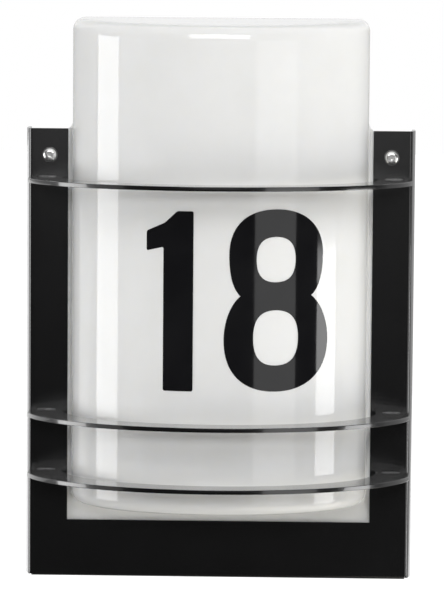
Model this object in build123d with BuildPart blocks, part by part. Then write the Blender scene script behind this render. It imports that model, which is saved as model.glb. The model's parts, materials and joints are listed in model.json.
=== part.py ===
"""Illuminated house number sign: a folded sheet-metal cover with three bowed fins round an opal diffuser.

Millimetres. The wall is the plane Y = 0, the sign stands out from it towards -Y, and +Z is up.
The origin lies on the wall, at the centre of the four wall slots. A height called a rise is measured from
the cover's bottom edge, and a distance called out is measured from the wall.
"""
from build123d import *
import os
from math import radians, tan

# Wall slots
MOUNT_RISE = 190.0
SLOT_SPACING_X = 140.0
SLOT_SPACING_Z = 200.0
SLOT_LENGTH = 12.0
SLOT_WIDTH = 5.5

# Cover, folded from one sheet
COVER_WIDTH = 266.0
COVER_HEIGHT = 309.5
COVER_OUT = 24.0
SHEET = 2.0
BEND_INSIDE = 1.5
RELIEF_GAP = 0.4
STRIP_WIDTH = 28.75
SILL_RISE = 39.5
SIDE_FLANGE_OUT = 1.5
BOTTOM_FLANGE_OUT = 7.0
HEEL_RADIUS = 3.0

# Fins
UPPER_FIN_DROP = 33.0
MIDDLE_FIN_RISE = 116.0
LOWER_FIN_RISE = 74.5
FIN_THICKNESS = 3.0
FIN_GAP = 4.5
FIN_BAND = 18.5
FIN_SIDE_BAND = 25.0
FIN_END_INSET = 2.5
TAB_LENGTH = 12.0

# Opal diffuser
OPENING_GAP = 3.25
SILL_GAP = 13.5
DIFFUSER_REACH = 67.0
DIFFUSER_HEIGHT = 332.5
DIFFUSER_WALL = 3.0
DIFFUSER_EDGE = 8.0
RIM_THICKNESS = 3.5
RIM_WIDTH = 9.0
RIM_DROP = 22.0
RIM_TOP_INSET = 1.0
RIM_CORNER = 6.0
SHOULDER_RADIUS = 6.5

# Seal between the diffuser and the base
SEAL_THICKNESS = 3.0
SEAL_INSET = 5.0
SEAL_LIP = 6.0
SEAL_CORNER = 3.0
NECK_INSET = 0.5

# Die-cast base
BASE_GAP = 2.0
BASE_FOOT_GAP = 3.0
BASE_TOP_INSET = 6.0
BASE_WALL = 2.5
BASE_FLOOR = 3.0
BASE_CORNER = 5.0
BASE_SHOULDER = 8.0
LAND_MARGIN = 0.5
RIB_WIDTH = 2.5
RIB_DROP = 4.0
RIB_COUNT = 3
RIB_SPACING = 75.0
RIB_START = 31.5

# Hook pins, on which the cover hangs and tilts
PIN_RADIUS = 2.5
PIN_PLAY = 0.05
PIN_OUT = 8.0
PIN_RISE = 10.0
PIN_GRIP = 8.0
PIN_TIP_INSET = 0.5
PIN_BOSS = 5.0

# Cover screws with their posts, washers and retaining rings
SCREW_INSET = 16.3
SCREW_DROP = 18.0
SCREW_LENGTH = 16.0
SCREW_RADIUS = 2.45
SCREW_POINT = 0.4
NECK_RADIUS = 2.0
SCREW_TRAVEL = 6.4
HEAD_RADIUS = 4.75
HEAD_HEIGHT = 2.75
HEAD_RIM = 0.5
HEAD_FLAT_RADIUS = 2.2
HEX_RADIUS = 1.75
HEX_DEPTH = 1.8
COVER_HOLE_RADIUS = 2.75
WASHER_RADIUS = 5.2
WASHER_THICKNESS = 1.0
RING_RADIUS = 3.8
RING_THICKNESS = 1.0
RING_PLAY = 0.1
POST_RADIUS = 6.0
POST_BORE_RADIUS = 2.65
POST_BORE_DEPTH = 14.0
POST_MOUTH_RADIUS = 4.2
POST_SPIGOT_RADIUS = 3.0
RIVET_INSET = 0.5

# Clips that hold the diffuser in the cover
CLIP_SHEET = 1.0
CLIP_WIDTH = 12.0
CLIP_FOOT = 4.5
CLIP_GAP = 1.0
CLIP_PLAY = 0.2
CLIP_FINGER = 4.5
CLIP_RISES = (75.0, 225.0)
CLIP_SPACING_X = 130.0
STUD_RADIUS = 2.0
STUD_LENGTH = 7.0
NUT_RADIUS = 4.0
NUT_HEIGHT = 3.2

# Lampholder on its bracket
LAMP_OUT = 46.0
HOLDER_RISE = 128.0
HOLDER_RADIUS = 22.0
HOLDER_HEIGHT = 48.0
HOLDER_FLOOR = 14.0
HOLDER_BAND = 8.0
HOLDER_WAIST = 2.0
HOLDER_EDGE = 1.0
SHELL_RADIUS = 15.2
SHELL_THICKNESS = 1.7
SHELL_HEIGHT = 28.0
SHELL_LIFT = 2.0
CONTACT_WIDTH = 6.0
CONTACT_LENGTH = 18.0
CONTACT_HEIGHT = 3.0
CONTACT_SHEET = 0.6
HOLDER_SCREW_SPACING = 26.0
HOLDER_SCREW_DEPTH = 8.0
WIRE_HOLE_SPACING = 12.0
WIRE_HOLE_RADIUS = 1.5
WIRE_HOLE_DEPTH = 6.0
BRACKET_SHEET = 2.0
BRACKET_BEND = 2.0
BRACKET_WIDTH = 36.0
BRACKET_MARGIN = 24.0
BRACKET_HEIGHT = 46.0
BRACKET_HOLE_RADIUS = 8.5
BRACKET_SCREW_LIFT = 18.0
BRACKET_SCREW_SPACING = 16.0
SMALL_SCREW_RADIUS = 2.0
SMALL_HEAD_RADIUS = 3.5
SMALL_HEAD_HEIGHT = 2.4

# Lamp
LAMP_PLAY = 0.3
LAMP_LENGTH = 108.0
BOWL_RADIUS = 30.0
BOWL_SKIRT = 13.0
BOWL_WALL = 1.5
CAP_HEIGHT = 26.0
CAP_WALL = 0.6
CAP_TAPER = 3.0
TIP_RADIUS = 4.5
TIP_HEIGHT = 1.6
INSULATOR_HEIGHT = 1.2
BOARD_RADIUS = 24.0
BOARD_THICKNESS = 1.6
CHIP_SIZE = 3.0
CHIP_HEIGHT = 0.7
CHIP_RING_RADIUS = 17.0
CHIP_COUNT = 10

# Terminals, earth and cable entry
TERMINAL_X = -28.0
TERMINAL_RISE = 80.0
TERMINAL_HEIGHT = 20.0
TERMINAL_DEPTH = 15.0
TERMINAL_CORNER = 1.5
TERMINAL_MARGIN = 1.0
POLE_SPACING = 11.0
POLE_COUNT = 3
POLE_OUT = 8.0
INSERT_WIDTH = 5.2
INSERT_BORE_RADIUS = 1.7
TERMINAL_SCREW_RADIUS = 1.5
TERMINAL_SCREW_SPACING = 11.0
TERMINAL_SCREW_INSET = 1.0
FIXING_HEAD_RADIUS = 2.6
FIXING_HEAD_HEIGHT = 2.0
FIXING_HEAD_INSET = 2.0
LEAD_RADIUS = 1.1
LEAD_GRIP = 7.0
LEAD_RUN = 14.0
LEAD_ENTRY = 4.0
BEND_SHARE = 0.45
EARTH_X = -54.0
EARTH_RISE = 140.0
EARTH_STUD_LENGTH = 12.0
LUG_RADIUS = 4.0
LUG_SHEET = 0.8
LUG_LENGTH = 16.0
LUG_TONGUE = 3.0
BARREL_RADIUS = 1.9
BARREL_LENGTH = 8.0
CABLE_X = 26.0
CABLE_RISE = 80.0
CABLE_RADIUS = 5.5
GROMMET_NECK_RADIUS = 10.0
GROMMET_FLANGE_RADIUS = 13.0
GROMMET_FLANGE = 1.2
GROMMET_RECESS = 0.2
NOZZLE_LENGTH = 8.0
NOZZLE_RADIUS = 8.0
NOZZLE_TIP_RADIUS = 6.6

# Places worked out from the sizes above
BEND_OUTSIDE = BEND_INSIDE + SHEET
RELIEF = BEND_OUTSIDE + RELIEF_GAP
COVER_INNER_OUT = COVER_OUT - SHEET
OPENING_WIDTH = COVER_WIDTH - 2 * STRIP_WIDTH
STRIP_X = (COVER_WIDTH - STRIP_WIDTH) / 2
DIFFUSER_WIDTH = OPENING_WIDTH - 2 * OPENING_GAP
DIFFUSER_BOTTOM_RISE = SILL_RISE + SILL_GAP
DIFFUSER_TOP_RISE = DIFFUSER_BOTTOM_RISE + DIFFUSER_HEIGHT
FIN_REACH = DIFFUSER_REACH + FIN_GAP + FIN_BAND
FIN_TOP_RISES = {
    "upper_fin": COVER_HEIGHT - UPPER_FIN_DROP,
    "middle_fin": MIDDLE_FIN_RISE,
    "lower_fin": LOWER_FIN_RISE,
}
RIM_BACK_OUT = COVER_INNER_OUT - RIM_THICKNESS
RIM_OUTER_WIDTH = DIFFUSER_WIDTH + 2 * RIM_WIDTH
RIM_BOTTOM_RISE = DIFFUSER_BOTTOM_RISE - RIM_DROP
RIM_TOP_RISE = COVER_HEIGHT - RIM_TOP_INSET
RIM_TO_STUD = STRIP_X - RIM_OUTER_WIDTH / 2
SEAL_WIDTH = RIM_OUTER_WIDTH - 2 * SEAL_LIP
SEAL_BOTTOM_RISE = RIM_BOTTOM_RISE + SEAL_LIP
NECK_WIDTH = DIFFUSER_WIDTH - 2 * NECK_INSET
NECK_TOP_RISE = DIFFUSER_TOP_RISE - NECK_INSET
BASE_OUT = RIM_BACK_OUT - SEAL_THICKNESS
BASE_WIDTH = COVER_WIDTH - 2 * (SHEET + BASE_GAP)
BASE_BOTTOM_RISE = SHEET + BASE_FOOT_GAP
BASE_SHOULDER_RISE = COVER_HEIGHT - BASE_TOP_INSET
LAND_WIDTH = SEAL_WIDTH + 2 * LAND_MARGIN
TROUGH_WIDTH = BASE_WIDTH - 2 * BASE_WALL
SCREW_RISE = COVER_HEIGHT - SCREW_DROP
SCREW_X = COVER_WIDTH / 2 - SCREW_INSET
RIB_RISES = [SCREW_RISE - RIB_START - index * RIB_SPACING for index in range(RIB_COUNT)]
HEAD_OUT = COVER_OUT + WASHER_THICKNESS
NECK_END_OUT = COVER_INNER_OUT - SCREW_TRAVEL - RING_THICKNESS - RING_PLAY
SHELL_BORE_RADIUS = SHELL_RADIUS - SHELL_THICKNESS
BRACKET_REACH = LAMP_OUT - BASE_FLOOR + BRACKET_MARGIN
BRACKET_SCREW_RISES = [HOLDER_RISE + BRACKET_SCREW_LIFT + index * BRACKET_SCREW_SPACING for index in (0, 1)]
LAMP_RISE = HOLDER_RISE + HOLDER_FLOOR + CONTACT_HEIGHT + LAMP_PLAY
CAP_RISE = LAMP_RISE + TIP_HEIGHT
CAP_RADIUS = SHELL_BORE_RADIUS - LAMP_PLAY
BOWL_RISE = LAMP_RISE + LAMP_LENGTH - BOWL_RADIUS - BOWL_SKIRT
TERMINAL_TOP_RISE = TERMINAL_RISE + TERMINAL_HEIGHT / 2
TERMINAL_FRONT_OUT = BASE_FLOOR + TERMINAL_DEPTH
POLE_XS = [TERMINAL_X + (index - (POLE_COUNT - 1) / 2) * POLE_SPACING for index in range(POLE_COUNT)]
LEAD_OUT = BASE_FLOOR + POLE_OUT
BARREL_RISE = EARTH_RISE - LUG_LENGTH
LEFT_AND_RIGHT = (-1, 1)


def up(rise: float) -> float:
    """Z of a height above the cover's bottom edge."""
    return rise - MOUNT_RISE


def level(rise: float) -> Plane:
    """Level plane at a height above the cover's bottom edge."""
    return Plane.XY.offset(up(rise))


def facing(out: float) -> Plane:
    """Upright plane at a distance from the wall, facing away from it."""
    return Plane.XZ.offset(out)


def finish(piece: BuildPart, name: str) -> None:
    """Label a finished piece and write it."""
    piece.part.label = name
    export_step(piece.part, f"parts/{name}.step")


def folded_outline(width: float, out: float, radius: float) -> Sketch:
    """Plan of the cover seen from above, with rounded front corners."""
    with BuildSketch() as outline:
        with Locations((0, -(out + SIDE_FLANGE_OUT) / 2)):
            Rectangle(width, out - SIDE_FLANGE_OUT)
        fillet(outline.vertices().group_by(Axis.Y)[0], radius)
    return outline.sketch


def upright_rectangle(width: float, bottom: float, top: float, x: float = 0) -> None:
    """Add an upright rectangle between two rises to the sketch that is open."""
    with Locations((x, up((bottom + top) / 2))):
        Rectangle(width, top - bottom)


def shouldered_outline(
    widths: tuple[float, float], rises: tuple[float, float, float], corners: tuple[float, float, float]
) -> Sketch:
    """Upright outline, wide below its shoulders and narrow above them.

    widths are the wide and the narrow one, rises those of the bottom, the shoulders and the top, and
    corners the radii of the bottom corners, of the top corners, and of the hollow at each shoulder.
    """
    width, neck_width = widths
    bottom, shoulder, top = rises
    corner, neck_corner, hollow = corners
    with BuildSketch() as outline:
        upright_rectangle(width, bottom, shoulder)
        upright_rectangle(neck_width, bottom, top)
        fillet(outline.vertices().group_by(Axis.Y)[0], corner)
        fillet(outline.vertices().group_by(Axis.Y)[-1], neck_corner)
        fillet(outline.vertices().group_by(Axis.Y)[-3].sort_by(Axis.X)[1:3], hollow)
    return outline.sketch


def chamber_outline() -> Sketch:
    """Upright outline of the lamp chamber, set in from the diffuser's inner wall."""
    inset = DIFFUSER_WALL + SEAL_INSET
    with BuildSketch() as outline:
        with Locations((0, up(DIFFUSER_BOTTOM_RISE + DIFFUSER_HEIGHT / 2))):
            RectangleRounded(DIFFUSER_WIDTH - 2 * inset, DIFFUSER_HEIGHT - 2 * inset, DIFFUSER_EDGE)
    return outline.sketch


def bowed_block(inset: float) -> Part:
    """Half-elliptical block with rounded ends: the diffuser's body, drawn in from its skin by inset."""
    half_width = DIFFUSER_WIDTH / 2 - inset
    with BuildPart() as block:
        with BuildSketch(level(DIFFUSER_BOTTOM_RISE + inset)):
            with BuildLine():
                EllipticalCenterArc(
                    (0, -COVER_OUT), half_width, DIFFUSER_REACH - inset, start_angle=180, arc_size=180
                )
                Polyline(
                    (half_width, -COVER_OUT),
                    (half_width, -RIM_BACK_OUT),
                    (-half_width, -RIM_BACK_OUT),
                    (-half_width, -COVER_OUT),
                )
            make_face()
        extrude(amount=DIFFUSER_HEIGHT - 2 * inset)
        ends = block.faces().filter_by(Axis.Z).edges()
        fillet(ends.sort_by(Axis.Y)[:-2], DIFFUSER_EDGE - inset)
    return block.part


def turned_upright(points: list[tuple[float, float]], x: float, out: float, base_rise: float) -> Part:
    """Piece turned about an upright axis, from points of radius and height above base_rise."""
    plane = Plane((x, -out, up(base_rise)), x_dir=(1, 0, 0), z_dir=(0, -1, 0))
    with BuildPart() as piece:
        with BuildSketch(plane):
            with BuildLine():
                Polyline(*points, close=True)
            make_face()
        revolve(axis=Axis(plane.origin, (0, 0, 1)))
    return piece.part


def turned_outward(points: list[tuple[float, float]], x: float, rise: float) -> Part:
    """Piece turned about an axis square to the wall, from points of radius and distance from the wall."""
    with BuildPart() as piece:
        with BuildSketch(Plane((x, 0, up(rise)), x_dir=(1, 0, 0), z_dir=(0, 0, -1))):
            with BuildLine():
                Polyline(*points, close=True)
            make_face()
        revolve(axis=Axis((x, 0, up(rise)), (0, -1, 0)))
    return piece.part


def headed_screw(
    end_out: float, seat_out: float, radius: float, head: tuple[float, float], x: float, rise: float
) -> Part:
    """Plain screw square to the wall: shank from end_out to seat_out, and a head of radius and height."""
    head_radius, head_height = head
    points = [
        (0, end_out),
        (radius, end_out),
        (radius, seat_out),
        (head_radius, seat_out),
        (head_radius, seat_out + head_height),
        (0, seat_out + head_height),
    ]
    return turned_outward(points, x, rise)


def lead(points: list[tuple[float, float, float]]) -> Part:
    """Insulated lead along points of x, out and rise, with each bend as wide as its runs allow."""
    places = [Vector(x, -out, up(rise)) for x, out, rise in points]
    runs = [after - before for before, after in zip(places, places[1:])]
    radii = [
        BEND_SHARE * min(first.length, second.length) / tan(radians(first.get_angle(second) / 2))
        for first, second in zip(runs, runs[1:])
    ]
    with BuildPart() as tube:
        with BuildLine() as route:
            FilletPolyline(*places, radius=radii)
        with BuildSketch(Plane(places[0], z_dir=runs[0])):
            Circle(LEAD_RADIUS)
        sweep()
    print("lead bend radii", [round(radius, 1) for radius in radii])
    return tube.part


os.makedirs("parts", exist_ok=True)

# ---------------------------------------------------------------- cover

SCREW_PLACES = [(side * SCREW_X, up(SCREW_RISE)) for side in LEFT_AND_RIGHT]

with BuildPart() as front_frame:
    with BuildSketch(level(RELIEF)):
        add(folded_outline(COVER_WIDTH, COVER_OUT, BEND_OUTSIDE))
        add(folded_outline(COVER_WIDTH - 2 * SHEET, COVER_INNER_OUT, BEND_INSIDE), mode=Mode.SUBTRACT)
    extrude(amount=COVER_HEIGHT - RELIEF)
    with BuildSketch(Plane.YZ) as bottom_fold:
        for radius, skin in ((BEND_OUTSIDE, 0), (BEND_INSIDE, SHEET)):
            with BuildLine():
                FilletPolyline(
                    (-COVER_OUT + skin, up(RELIEF)),
                    (-COVER_OUT + skin, up(skin)),
                    (-BOTTOM_FLANGE_OUT, up(skin)),
                    radius=radius,
                )
                Polyline(
                    (-BOTTOM_FLANGE_OUT, up(skin)),
                    (-BOTTOM_FLANGE_OUT, up(RELIEF)),
                    (-COVER_OUT + skin, up(RELIEF)),
                )
            make_face(mode=Mode.SUBTRACT if skin else Mode.ADD)
    extrude(amount=COVER_WIDTH / 2 - RELIEF, both=True)
    with BuildSketch(facing(COVER_OUT)):
        upright_rectangle(OPENING_WIDTH, SILL_RISE, COVER_HEIGHT)
        with Locations(*SCREW_PLACES):
            Circle(COVER_HOLE_RADIUS)
        for top_rise in FIN_TOP_RISES.values():
            for side in LEFT_AND_RIGHT:
                upright_rectangle(TAB_LENGTH, top_rise - FIN_THICKNESS, top_rise, side * STRIP_X)
    extrude(amount=-SHEET, mode=Mode.SUBTRACT)
    with BuildSketch(Plane.YZ):
        with Locations((-PIN_OUT, up(PIN_RISE))):
            Circle(PIN_RADIUS + PIN_PLAY)
        upright_rectangle(2 * (PIN_RADIUS + PIN_PLAY), RELIEF, PIN_RISE, -PIN_OUT)
    extrude(amount=COVER_WIDTH, both=True, mode=Mode.SUBTRACT)
    rear_edges = front_frame.edges().filter_by(Axis.X).group_by(Axis.Y)[-1]
    fillet(rear_edges.group_by(Axis.Z)[0], HEEL_RADIUS)
finish(front_frame, "front_frame")

for fin_name, top_rise in FIN_TOP_RISES.items():
    with BuildPart() as fin:
        with BuildSketch(level(top_rise)):
            with Locations((0, -COVER_OUT)):
                Ellipse(COVER_WIDTH / 2, FIN_REACH)
                Ellipse(COVER_WIDTH / 2 - FIN_SIDE_BAND, FIN_REACH - FIN_BAND, mode=Mode.SUBTRACT)
            with Locations((0, -COVER_OUT - FIN_REACH)):
                Rectangle(COVER_WIDTH - 2 * FIN_END_INSET, 2 * FIN_REACH, mode=Mode.INTERSECT)
        extrude(amount=-FIN_THICKNESS)
        with BuildSketch(level(top_rise)):
            with Locations(*[(side * STRIP_X, -COVER_OUT + SHEET / 2) for side in LEFT_AND_RIGHT]):
                Rectangle(TAB_LENGTH, SHEET)
        extrude(amount=-FIN_THICKNESS)
    finish(fin, fin_name)

# The moulding that takes the most skill: a half-elliptical shell with rounded ends, which grows a clamping
# rim behind the cover, with hollow shoulders where the rim ends at the cover's top edge.
diffuser_body = bowed_block(0)
diffuser_hollow = bowed_block(DIFFUSER_WALL)
with BuildPart() as diffuser:
    with BuildSketch(facing(RIM_BACK_OUT)):
        add(
            shouldered_outline(
                (RIM_OUTER_WIDTH, DIFFUSER_WIDTH),
                (RIM_BOTTOM_RISE, RIM_TOP_RISE, DIFFUSER_TOP_RISE),
                (RIM_CORNER, DIFFUSER_EDGE, SHOULDER_RADIUS),
            )
        )
    extrude(amount=RIM_THICKNESS)
    add(diffuser_body)
    add(diffuser_hollow, mode=Mode.SUBTRACT)
finish(diffuser, "diffuser")

# Clips: four at the sides and two below, each on a stud, with its finger over the diffuser's rim
CLIP_PLACES = {
    0: [(-STRIP_X, up(rise)) for rise in CLIP_RISES],
    180: [(STRIP_X, up(rise)) for rise in CLIP_RISES],
    -90: [(side * CLIP_SPACING_X / 2, up(RIM_BOTTOM_RISE - RIM_TO_STUD)) for side in LEFT_AND_RIGHT],
}
STUD_PLACES = [place for places in CLIP_PLACES.values() for place in places]

with BuildPart() as clip_studs:
    with BuildSketch(facing(COVER_INNER_OUT)):
        with Locations(*STUD_PLACES):
            Circle(STUD_RADIUS)
    extrude(amount=-STUD_LENGTH)
finish(clip_studs, "clip_studs")

with BuildPart() as clip:
    step_x = RIM_TO_STUD - CLIP_GAP
    tip_x = RIM_TO_STUD + CLIP_FINGER
    with BuildSketch(Plane.XY):
        with BuildLine():
            Polyline(
                (-CLIP_FOOT, -COVER_INNER_OUT),
                (step_x, -COVER_INNER_OUT),
                (step_x, -RIM_BACK_OUT),
                (tip_x, -RIM_BACK_OUT),
                (tip_x, -RIM_BACK_OUT + CLIP_SHEET),
                (step_x - CLIP_SHEET, -RIM_BACK_OUT + CLIP_SHEET),
                (step_x - CLIP_SHEET, -COVER_INNER_OUT + CLIP_SHEET),
                (-CLIP_FOOT, -COVER_INNER_OUT + CLIP_SHEET),
                close=True,
            )
        make_face()
    extrude(amount=CLIP_WIDTH / 2, both=True)
    with BuildSketch(facing(COVER_INNER_OUT)):
        Circle(STUD_RADIUS + CLIP_PLAY)
    extrude(amount=-CLIP_SHEET, mode=Mode.SUBTRACT)

with BuildPart() as diffuser_clips:
    for turn, places in CLIP_PLACES.items():
        with Locations(*[(x, 0, z) for x, z in places]):
            add(clip.part, rotation=(0, turn, 0))
finish(diffuser_clips, "diffuser_clips")

with BuildPart() as clip_nuts:
    with BuildSketch(facing(COVER_INNER_OUT - CLIP_SHEET)):
        with Locations(*STUD_PLACES):
            RegularPolygon(NUT_RADIUS, 6)
            Circle(STUD_RADIUS, mode=Mode.SUBTRACT)
    extrude(amount=-NUT_HEIGHT)
finish(clip_nuts, "clip_nuts")

# ---------------------------------------------------------------- base

with BuildPart() as wall_base:
    with BuildSketch(Plane.XZ):
        add(
            shouldered_outline(
                (BASE_WIDTH, NECK_WIDTH),
                (BASE_BOTTOM_RISE, BASE_SHOULDER_RISE, NECK_TOP_RISE),
                (BASE_CORNER, DIFFUSER_EDGE - NECK_INSET, BASE_SHOULDER),
            )
        )
    extrude(amount=BASE_OUT)
    with BuildSketch(facing(BASE_OUT)):
        add(chamber_outline())
    extrude(amount=BASE_FLOOR - BASE_OUT, mode=Mode.SUBTRACT)
    with BuildSketch(facing(BASE_OUT)):
        upright_rectangle(TROUGH_WIDTH, BASE_BOTTOM_RISE + BASE_WALL, BASE_SHOULDER_RISE - BASE_WALL)
        with Locations((0, up((SEAL_BOTTOM_RISE - LAND_MARGIN + NECK_TOP_RISE) / 2))):
            Rectangle(LAND_WIDTH, NECK_TOP_RISE - SEAL_BOTTOM_RISE + LAND_MARGIN, mode=Mode.SUBTRACT)
    extrude(amount=BASE_FLOOR - BASE_OUT, mode=Mode.SUBTRACT)
    with BuildSketch(facing(BASE_FLOOR)):
        for rise in RIB_RISES:
            for side in LEFT_AND_RIGHT:
                with Locations((side * (LAND_WIDTH + TROUGH_WIDTH) / 4, up(rise))):
                    Rectangle((TROUGH_WIDTH - LAND_WIDTH) / 2, RIB_WIDTH)
    extrude(amount=BASE_OUT - RIB_DROP - BASE_FLOOR)
    with BuildSketch(facing(BASE_FLOOR)):
        for side in LEFT_AND_RIGHT:
            boss_width = PIN_GRIP + BASE_WALL
            boss_x = side * (BASE_WIDTH - boss_width - BASE_WALL) / 2
            upright_rectangle(boss_width, BASE_BOTTOM_RISE + BASE_WALL, PIN_RISE + PIN_BOSS, boss_x)
    extrude(amount=PIN_OUT + PIN_BOSS - BASE_FLOOR)
    for side in LEFT_AND_RIGHT:
        with BuildSketch(Plane.YZ.offset(side * BASE_WIDTH / 2)):
            with Locations((-PIN_OUT, up(PIN_RISE))):
                Circle(PIN_RADIUS)
        extrude(amount=-side * PIN_GRIP, mode=Mode.SUBTRACT)
    with BuildSketch(Plane.XZ):
        with GridLocations(SLOT_SPACING_X, SLOT_SPACING_Z, 2, 2):
            SlotOverall(SLOT_LENGTH, SLOT_WIDTH)
        with Locations(*SCREW_PLACES):
            Circle(POST_SPIGOT_RADIUS)
        with Locations(*[(0, up(rise)) for rise in BRACKET_SCREW_RISES], (EARTH_X, up(EARTH_RISE))):
            Circle(SMALL_SCREW_RADIUS)
        with Locations((TERMINAL_X + POLE_SPACING / 2, up(TERMINAL_RISE))):
            Circle(TERMINAL_SCREW_RADIUS)
        with Locations((CABLE_X, up(CABLE_RISE))):
            Circle(GROMMET_NECK_RADIUS)
    extrude(amount=BASE_FLOOR, mode=Mode.SUBTRACT)
    with BuildSketch(Plane.XZ):
        with Locations((CABLE_X, up(CABLE_RISE))):
            Circle(GROMMET_FLANGE_RADIUS)
    extrude(amount=GROMMET_RECESS + GROMMET_FLANGE, mode=Mode.SUBTRACT)
finish(wall_base, "wall_base")

with BuildPart() as diffuser_seal:
    with BuildSketch(facing(BASE_OUT)):
        add(
            shouldered_outline(
                (SEAL_WIDTH, NECK_WIDTH),
                (SEAL_BOTTOM_RISE, BASE_SHOULDER_RISE, NECK_TOP_RISE),
                (SEAL_CORNER, DIFFUSER_EDGE - NECK_INSET, SEAL_CORNER / 2),
            )
        )
        add(chamber_outline(), mode=Mode.SUBTRACT)
    extrude(amount=SEAL_THICKNESS)
finish(diffuser_seal, "diffuser_seal")

with BuildPart() as hook_pins:
    for side in LEFT_AND_RIGHT:
        with BuildSketch(Plane.YZ.offset(side * (BASE_WIDTH / 2 - PIN_GRIP))):
            with Locations((-PIN_OUT, up(PIN_RISE))):
                Circle(PIN_RADIUS)
        extrude(amount=side * ((COVER_WIDTH - BASE_WIDTH) / 2 + PIN_GRIP - PIN_TIP_INSET))
finish(hook_pins, "hook_pins")

with BuildPart() as cover_posts:
    for x, _ in SCREW_PLACES:
        add(
            turned_outward(
                [
                    (0, RIVET_INSET),
                    (POST_SPIGOT_RADIUS, RIVET_INSET),
                    (POST_SPIGOT_RADIUS, BASE_FLOOR),
                    (POST_RADIUS, BASE_FLOOR),
                    (POST_RADIUS, COVER_INNER_OUT),
                    (POST_MOUTH_RADIUS, COVER_INNER_OUT),
                    (POST_MOUTH_RADIUS, NECK_END_OUT - RING_PLAY),
                    (POST_BORE_RADIUS, NECK_END_OUT - RING_PLAY),
                    (POST_BORE_RADIUS, COVER_INNER_OUT - POST_BORE_DEPTH),
                    (0, COVER_INNER_OUT - POST_BORE_DEPTH),
                ],
                x,
                SCREW_RISE,
            )
        )
finish(cover_posts, "cover_posts")

# ---------------------------------------------------------------- cover screws

for side_name, x in (("left", -SCREW_X), ("right", SCREW_X)):
    with BuildPart() as cover_screw:
        with BuildSketch(Plane((x, 0, up(SCREW_RISE)), x_dir=(1, 0, 0), z_dir=(0, 0, -1))):
            with BuildLine():
                tip_out = HEAD_OUT - SCREW_LENGTH
                Polyline(
                    (HEAD_FLAT_RADIUS, HEAD_OUT + HEAD_HEIGHT),
                    (0, HEAD_OUT + HEAD_HEIGHT),
                    (0, tip_out),
                    (SCREW_RADIUS - SCREW_POINT, tip_out),
                    (SCREW_RADIUS, tip_out + SCREW_POINT),
                    (SCREW_RADIUS, NECK_END_OUT),
                    (NECK_RADIUS, NECK_END_OUT),
                    (NECK_RADIUS, HEAD_OUT),
                    (HEAD_RADIUS, HEAD_OUT),
                    (HEAD_RADIUS, HEAD_OUT + HEAD_RIM),
                )
                EllipticalCenterArc(
                    (HEAD_FLAT_RADIUS, HEAD_OUT + HEAD_RIM),
                    HEAD_RADIUS - HEAD_FLAT_RADIUS,
                    HEAD_HEIGHT - HEAD_RIM,
                    start_angle=0,
                    arc_size=90,
                )
            make_face()
        revolve(axis=Axis((x, 0, up(SCREW_RISE)), (0, -1, 0)))
        with BuildSketch(facing(HEAD_OUT + HEAD_HEIGHT)):
            with Locations((x, up(SCREW_RISE))):
                RegularPolygon(HEX_RADIUS, 6)
        extrude(amount=-HEX_DEPTH, mode=Mode.SUBTRACT)
    finish(cover_screw, f"{side_name}_cover_screw")

    for ring_name, inner_out, thickness, outer_radius, inner_radius in (
        ("screw_washer", COVER_OUT, WASHER_THICKNESS, WASHER_RADIUS, COVER_HOLE_RADIUS),
        ("retaining_ring", NECK_END_OUT, RING_THICKNESS, RING_RADIUS, NECK_RADIUS + RING_PLAY),
    ):
        with BuildPart() as ring:
            with BuildSketch(facing(inner_out)):
                with Locations((x, up(SCREW_RISE))):
                    Circle(outer_radius)
                    Circle(inner_radius, mode=Mode.SUBTRACT)
            extrude(amount=thickness)
        finish(ring, f"{side_name}_{ring_name}")

# ---------------------------------------------------------------- lampholder

with BuildPart() as lampholder_bracket:
    with BuildSketch(Plane.YZ) as bracket_section:
        with BuildLine():
            Polyline(
                (-BASE_FLOOR, up(HOLDER_RISE - BRACKET_SHEET)),
                (-BASE_FLOOR - BRACKET_REACH, up(HOLDER_RISE - BRACKET_SHEET)),
                (-BASE_FLOOR - BRACKET_REACH, up(HOLDER_RISE)),
                (-BASE_FLOOR - BRACKET_SHEET, up(HOLDER_RISE)),
                (-BASE_FLOOR - BRACKET_SHEET, up(HOLDER_RISE - BRACKET_SHEET + BRACKET_HEIGHT)),
                (-BASE_FLOOR, up(HOLDER_RISE - BRACKET_SHEET + BRACKET_HEIGHT)),
                close=True,
            )
        make_face()
        outer_bend = bracket_section.vertices().group_by(Axis.Y)[0].sort_by(Axis.X)[-1]
        fillet(outer_bend, BRACKET_BEND + BRACKET_SHEET)
        inner_bend = bracket_section.vertices().filter_by_position(
            Axis.X, -BASE_FLOOR - BRACKET_SHEET, -BASE_FLOOR - BRACKET_SHEET
        )
        fillet(inner_bend.sort_by(Axis.Y)[0], BRACKET_BEND)
    extrude(amount=BRACKET_WIDTH / 2, both=True)
    with BuildSketch(level(HOLDER_RISE)):
        with Locations((0, -LAMP_OUT)):
            Circle(BRACKET_HOLE_RADIUS)
            with GridLocations(0, HOLDER_SCREW_SPACING, 1, 2):
                Circle(SMALL_SCREW_RADIUS)
    extrude(amount=-BRACKET_SHEET, mode=Mode.SUBTRACT)
    with BuildSketch(facing(BASE_FLOOR)):
        with Locations(*[(0, up(rise)) for rise in BRACKET_SCREW_RISES]):
            Circle(SMALL_SCREW_RADIUS)
    extrude(amount=BRACKET_SHEET, mode=Mode.SUBTRACT)
finish(lampholder_bracket, "lampholder_bracket")

with BuildPart() as bracket_screws:
    for rise in BRACKET_SCREW_RISES:
        add(
            headed_screw(
                RIVET_INSET,
                BASE_FLOOR + BRACKET_SHEET,
                SMALL_SCREW_RADIUS,
                (SMALL_HEAD_RADIUS, SMALL_HEAD_HEIGHT),
                0,
                rise,
            )
        )
finish(bracket_screws, "bracket_screws")

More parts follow.
